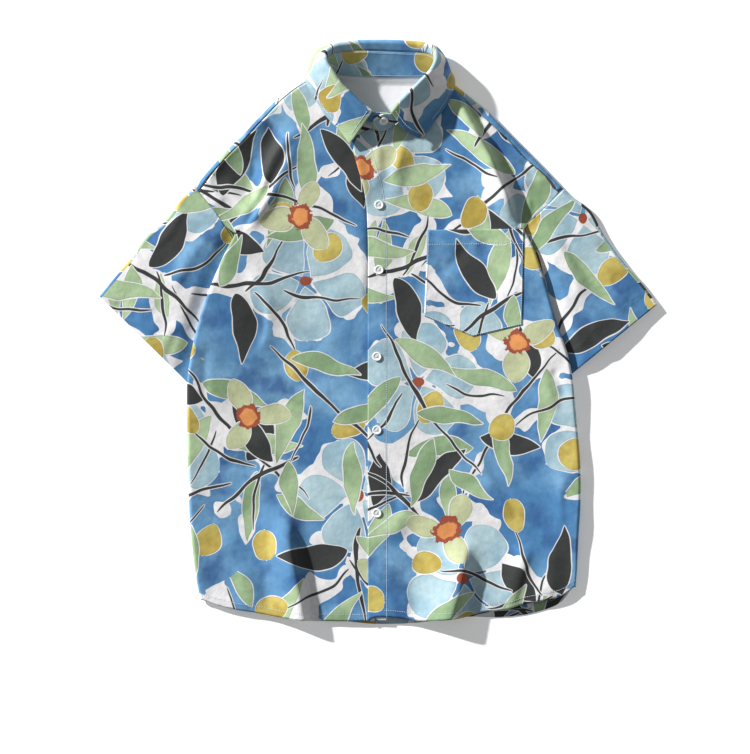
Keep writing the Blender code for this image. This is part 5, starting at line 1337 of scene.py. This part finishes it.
# ---------------------------------------------------------------------------------------------
# Collar fall: the leaf of the collar, over the roll and down to its two points, topstitched 6 mm
# inside its edge.
# ---------------------------------------------------------------------------------------------
COLLAR_STITCH = 6.0
ROLL_START = 0.5      # of the fall over the stand's top edge
ROLL_TURNS = np.linspace(1.0, 3.4, 97)        # how far round its roll can go
RISE_ROWS, ROLL_ROWS, DROP_ROWS = 3, 16, 28   # up to the roll, round it, down to the edge
LEAF_ENDS, LEAF_TOP = 12, 4   # stitches left out: at both ends of the long row, under the roll


def section(low, high, rise, radius, half, edge):
    """Across the fall: up from the stand, round the roll, then down to the edge."""
    up = (high - low) / np.linalg.norm(high - low)
    start = high + up * ROLL_START
    out = half - start
    out = out - up * (out @ up)
    out /= np.linalg.norm(out)
    centre = start + up * rise + out * radius

    def spot(turn):
        return centre + radius * (up * math.sin(turn) - out * math.cos(turn))

    def miss(turn):
        ahead = half - spot(turn)
        return 1 - (up * math.cos(turn) + out * math.sin(turn)) @ ahead / np.linalg.norm(ahead)

    stop = min(ROLL_TURNS, key=miss)
    arc = [spot(stop * k / ROLL_ROWS) for k in range(ROLL_ROWS + 1)]
    rest = through([arc[-1], half, edge], np.linspace(0, 2, DROP_ROWS + 1)[1:])
    rise_up = [start + (arc[0] - start) * k / RISE_ROWS for k in range(RISE_ROWS)]
    return np.concatenate([rise_up, arc, rest])


fall_line = round_neck([
    (*station, *row[3:5], *row[5], *row[6])
    for row, station in zip(COLLAR, stand_at) if row[3] is not None])
fall = np.stack([section(t[:3], t[3:6], t[6], t[7], t[8:11], t[11:]) for t in fall_line], axis=1)
fall_seams = np.minimum.reduce([
    np.abs(reach(fall, axis, far) - COLLAR_STITCH)
    for axis, far in ((0, True), (1, False), (1, True))])
leaf = fall[RISE_ROWS + ROLL_ROWS + 1 :]
fall_seam = sew("collar_stitches", [
    seam_line(leaf, BAND_WALL, COLLAR_STITCH, 0, True)[LEAF_ENDS:-LEAF_ENDS],
    seam_line(leaf, BAND_WALL, COLLAR_STITCH, 1)[:-LEAF_TOP],
    seam_line(leaf, BAND_WALL, COLLAR_STITCH, 1, True)[:-LEAF_TOP]],
    pitch=3.0, stitch=2.8, thick=0.36)
collar_fall = lay(
    "collar_fall_cloth", fall, unrolled(fall), BAND_WALL, [collar_cloth], fall_seams,
    inner=0)
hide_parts("collar_fall")

# ---------------------------------------------------------------------------------------------
# Buttons: six white four-hole buttons, turned with a raised rim round a dished middle, each held
# by a cross of thread, over a buttonhole's binding of close stitches; the slit is not cut in the cloth.
# ---------------------------------------------------------------------------------------------
BUTTON_TURNS, HOLE_SIDES, STRAND_SIDES, STRAND_TURNS = 48, 20, 6, 8
# half of a button's section, from its underside round the rim to the dish: radius, height
BUTTON_PROFILE = [
    (0, 0), (4.7, 0), (5.5, 0.2), (5.87, 0.6), (5.95, 1.0), (5.8, 1.4), (5.4, 1.68), (4.9, 1.78),
    (4.35, 1.65), (3.95, 1.3), (3.4, 1.1), (0, 1.05)]
SHARP = 40            # degrees from which an edge of the button stays sharp
HOLE_RADIUS, HOLE_DEPTH = 0.8, 8.0
HOLE_OFFSET = 1.45    # from the button's middle, along both of its sides
AIR = 0.12            # left under a button
STAND_SINK = 0.58     # how far its thread draws the collar's button down to the band
STRANDS = (-0.34, 0.0, 0.34)      # of one bar of the cross, aside from its middle
STRAND_RADIUS, STRAND_ARCH, STRAND_FOOT = 0.2, 0.35, 0.95
HOLE_LENGTH = 14.0    # of the buttonhole
BINDING = (0.15, 1.25)            # inner and outer edge of its binding, from the slit's middle
BINDING_STEP, BINDING_RADIUS = 0.42, 0.12
BINDING_LIFT = -0.08  # binding over the button's underside

button_white, tree, sockets = finish("button white", Coat_Weight=0.15)
place = node(tree, "TexCoord", out=3)
cloudy = node(tree, "TexNoise", place, None, 260.0, 3.0)
white = mix(tree, cloudy, paint(240, 239, 236), paint(255, 255, 254))
tree.links.new(white, sockets["Base Color"])
worn = node(tree, "TexNoise", place, None, 1500.0, 2.0)
tree.links.new(between(tree, worn, 0.3, 0.7, 0.2, 0.42), sockets["Roughness"])

made = bmesh.new()
spots = [made.verts.new((radius * MM, 0, height * MM)) for radius, height in BUTTON_PROFILE]
edges = [made.edges.new(pair) for pair in zip(spots, spots[1:])]
bmesh.ops.spin(made, geom=spots + edges, axis=(0, 0, 1), cent=(0, 0, 0), angle=math.tau,
               steps=BUTTON_TURNS, use_merge=True)
bmesh.ops.remove_doubles(made, verts=made.verts, dist=0.001 * MM)
bmesh.ops.recalc_face_normals(made, faces=made.faces)
blank = bpy.data.objects.new("blank", mesh_of("turned disc", made))
made = bmesh.new()
for x in (-HOLE_OFFSET, HOLE_OFFSET):
    for y in (-HOLE_OFFSET, HOLE_OFFSET):
        bmesh.ops.create_cone(
            made, segments=HOLE_SIDES, cap_ends=True, radius1=HOLE_RADIUS * MM,
            radius2=HOLE_RADIUS * MM, depth=HOLE_DEPTH * MM,
            matrix=Matrix.Translation((x * MM, y * MM, 0)))
drill = bpy.data.objects.new("drill", mesh_of("drill", made))
for tool in (blank, drill):
    bpy.context.scene.collection.objects.link(tool)
drilled = blank.modifiers.new("holes", "BOOLEAN")
drilled.object = drill
solved = blank.evaluated_get(bpy.context.evaluated_depsgraph_get())
button_shape = bpy.data.meshes.new_from_object(solved)
for tool in (blank, drill):
    bpy.data.objects.remove(tool)
button_shape.set_sharp_from_angle(angle=math.radians(SHARP))
button_shape.materials.clear()
button_shape.materials.append(button_white)

made = bmesh.new()
for turn in (45, 135):
    for aside in STRANDS:
        first = len(made.verts)
        ring = bmesh.ops.create_circle(made, segments=STRAND_SIDES, radius=STRAND_RADIUS * MM)
        ring = ring["verts"]
        hole = HOLE_OFFSET * math.sqrt(2)
        bmesh.ops.translate(made, verts=ring, vec=(hole * MM, aside * MM, 0))
        ring_edges = list({edge for spot in ring for edge in spot.link_edges})
        bmesh.ops.spin(made, geom=ring + ring_edges, axis=(0, -1, 0), cent=(0, 0, 0), angle=math.pi,
                       steps=STRAND_TURNS)
        made.verts.ensure_lookup_table()
        strand = made.verts[first:]
        bmesh.ops.scale(made, verts=strand, vec=(1, 1, STRAND_ARCH))
        bmesh.ops.translate(made, verts=strand, vec=(0, 0, STRAND_FOOT * MM))
        aslant = Matrix.Rotation(math.radians(turn), 3, "Z")
        bmesh.ops.rotate(made, verts=strand, cent=(0, 0, 0), matrix=aslant)
bmesh.ops.holes_fill(made, edges=made.edges)
bmesh.ops.recalc_face_normals(made, faces=made.faces)
cross_shape = mesh_of("cross of thread", made)
cross_shape.shade_smooth()
cross_shape.materials.append(thread)


def binding(place, side):
    """One long side of a buttonhole's binding: a close zigzag of thread."""
    return np.array([
        place @ Vector((side * BINDING[k % 2], k * BINDING_STEP - HOLE_LENGTH / 2, BINDING_LIFT))
        for k in range(int(HOLE_LENGTH / BINDING_STEP) + 1)])


for name in ["button_stand"] + ["button_%d" % k for k in range(1, 6)]:
    spots = np.array([spot.co for spot in bpy.data.objects[name].data.vertices]) / MM
    middle = spots.mean(axis=0)
    axes = np.linalg.svd(spots - middle, full_matrices=False)[2]
    up = axes[2] * np.sign(axes[2][2])
    low = ((spots - middle) @ up).min()
    on_stand = name == "button_stand"
    seat = middle + up * (low - STAND_SINK)
    if not on_stand:
        face = front_height(middle[None, :2], True)[0] + WALL / 2 + LIFT + PLACKET_WALL
        seat = np.array([*middle[:2], face]) + up * AIR
    slit = Vector((1, 0, 0) if on_stand else (0, 1, 0))
    side_on = slit.cross(Vector(up)).normalized()
    slit = Vector(up).cross(side_on)
    place = Matrix((side_on, slit, Vector(up))).transposed().to_4x4()
    place = Matrix.Translation(Vector(seat)) @ place
    in_mm = Matrix.Diagonal((MM, MM, MM, 1))
    for shape, ending, slot in (
            (button_shape, "_disc", "button"), (cross_shape, "_thread", "cloth_stand")):
        mesh = shape.copy()
        mesh.name = name + ending
        mesh.transform(in_mm @ place @ in_mm.inverted())
        piece = place_piece(name + ending, mesh)
        if slot == "button":
            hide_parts(name)
    leg = math.hypot(BINDING[1] - BINDING[0], BINDING_STEP)
    sew(name.replace("button", "buttonhole"), [binding(place, side) for side in (-1, 1)],
        pitch=leg, stitch=leg, thick=BINDING_RADIUS)

# ---------------------------------------------------------------------------------------------
# Table, light and camera: a plain pale table, soft studio light from the upper left, and the view
# straight down that a garment laid flat is shown in.
# ---------------------------------------------------------------------------------------------
TABLE_SIZE, TABLE_DROP = 12.0, 0.0002         # metres
ROOM_COLOUR, ROOM_STRENGTH = (0.96, 0.98, 1.0, 1), 0.24
bpy.ops.mesh.primitive_plane_add(size=TABLE_SIZE, location=(0, 0, -TABLE_DROP))
floor = bpy.context.object
floor.name = "table"
pale, _, _ = finish("pale table", Base_Color=(0.97, 0.97, 0.97, 1), Roughness=0.9,
                    Emission_Color=(1, 1, 1, 1), Emission_Strength=0.2)
floor.data.materials.append(pale)
floor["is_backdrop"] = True

world = bpy.data.worlds.new("studio")
world.use_nodes = True
sky = world.node_tree.nodes["Background"].inputs
sky["Color"].default_value = ROOM_COLOUR
sky["Strength"].default_value = ROOM_STRENGTH
bpy.context.scene.world = world
# the key, a soft sun low in the upper left: where it stands, its size in degrees, its strength
KEY_FROM = (-52, 38, 27)
KEY_SIZE = 2.0
KEY_STRENGTH = 6.1
sun = bpy.data.lights.new("key", "SUN")
sun.angle = math.radians(KEY_SIZE)
sun.energy = KEY_STRENGTH
key = bpy.data.objects.new("key", sun)
key.rotation_euler = Vector(KEY_FROM).to_track_quat("Z", "Y").to_euler()
bpy.context.scene.collection.objects.link(key)
key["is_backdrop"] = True

CAMERA = (-3.25, -58.1, 6000.0)
SENSOR, FOCAL_LENGTH, CLIP_END = 36.0, 220.4, 50.0    # the last in metres
lens = bpy.data.cameras.new("camera")
lens.sensor_width = SENSOR
lens.lens = FOCAL_LENGTH
lens.clip_end = CLIP_END
viewer = bpy.data.objects.new("camera", lens)
viewer.location = Vector(CAMERA) * MM
bpy.context.scene.collection.objects.link(viewer)
bpy.context.scene.camera = viewer
bpy.context.scene.view_settings.view_transform = "Standard"

final_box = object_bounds()
size = {"solids": [list(corner) for corner in solid_box],
        "final": [list(corner) for corner in final_box]}
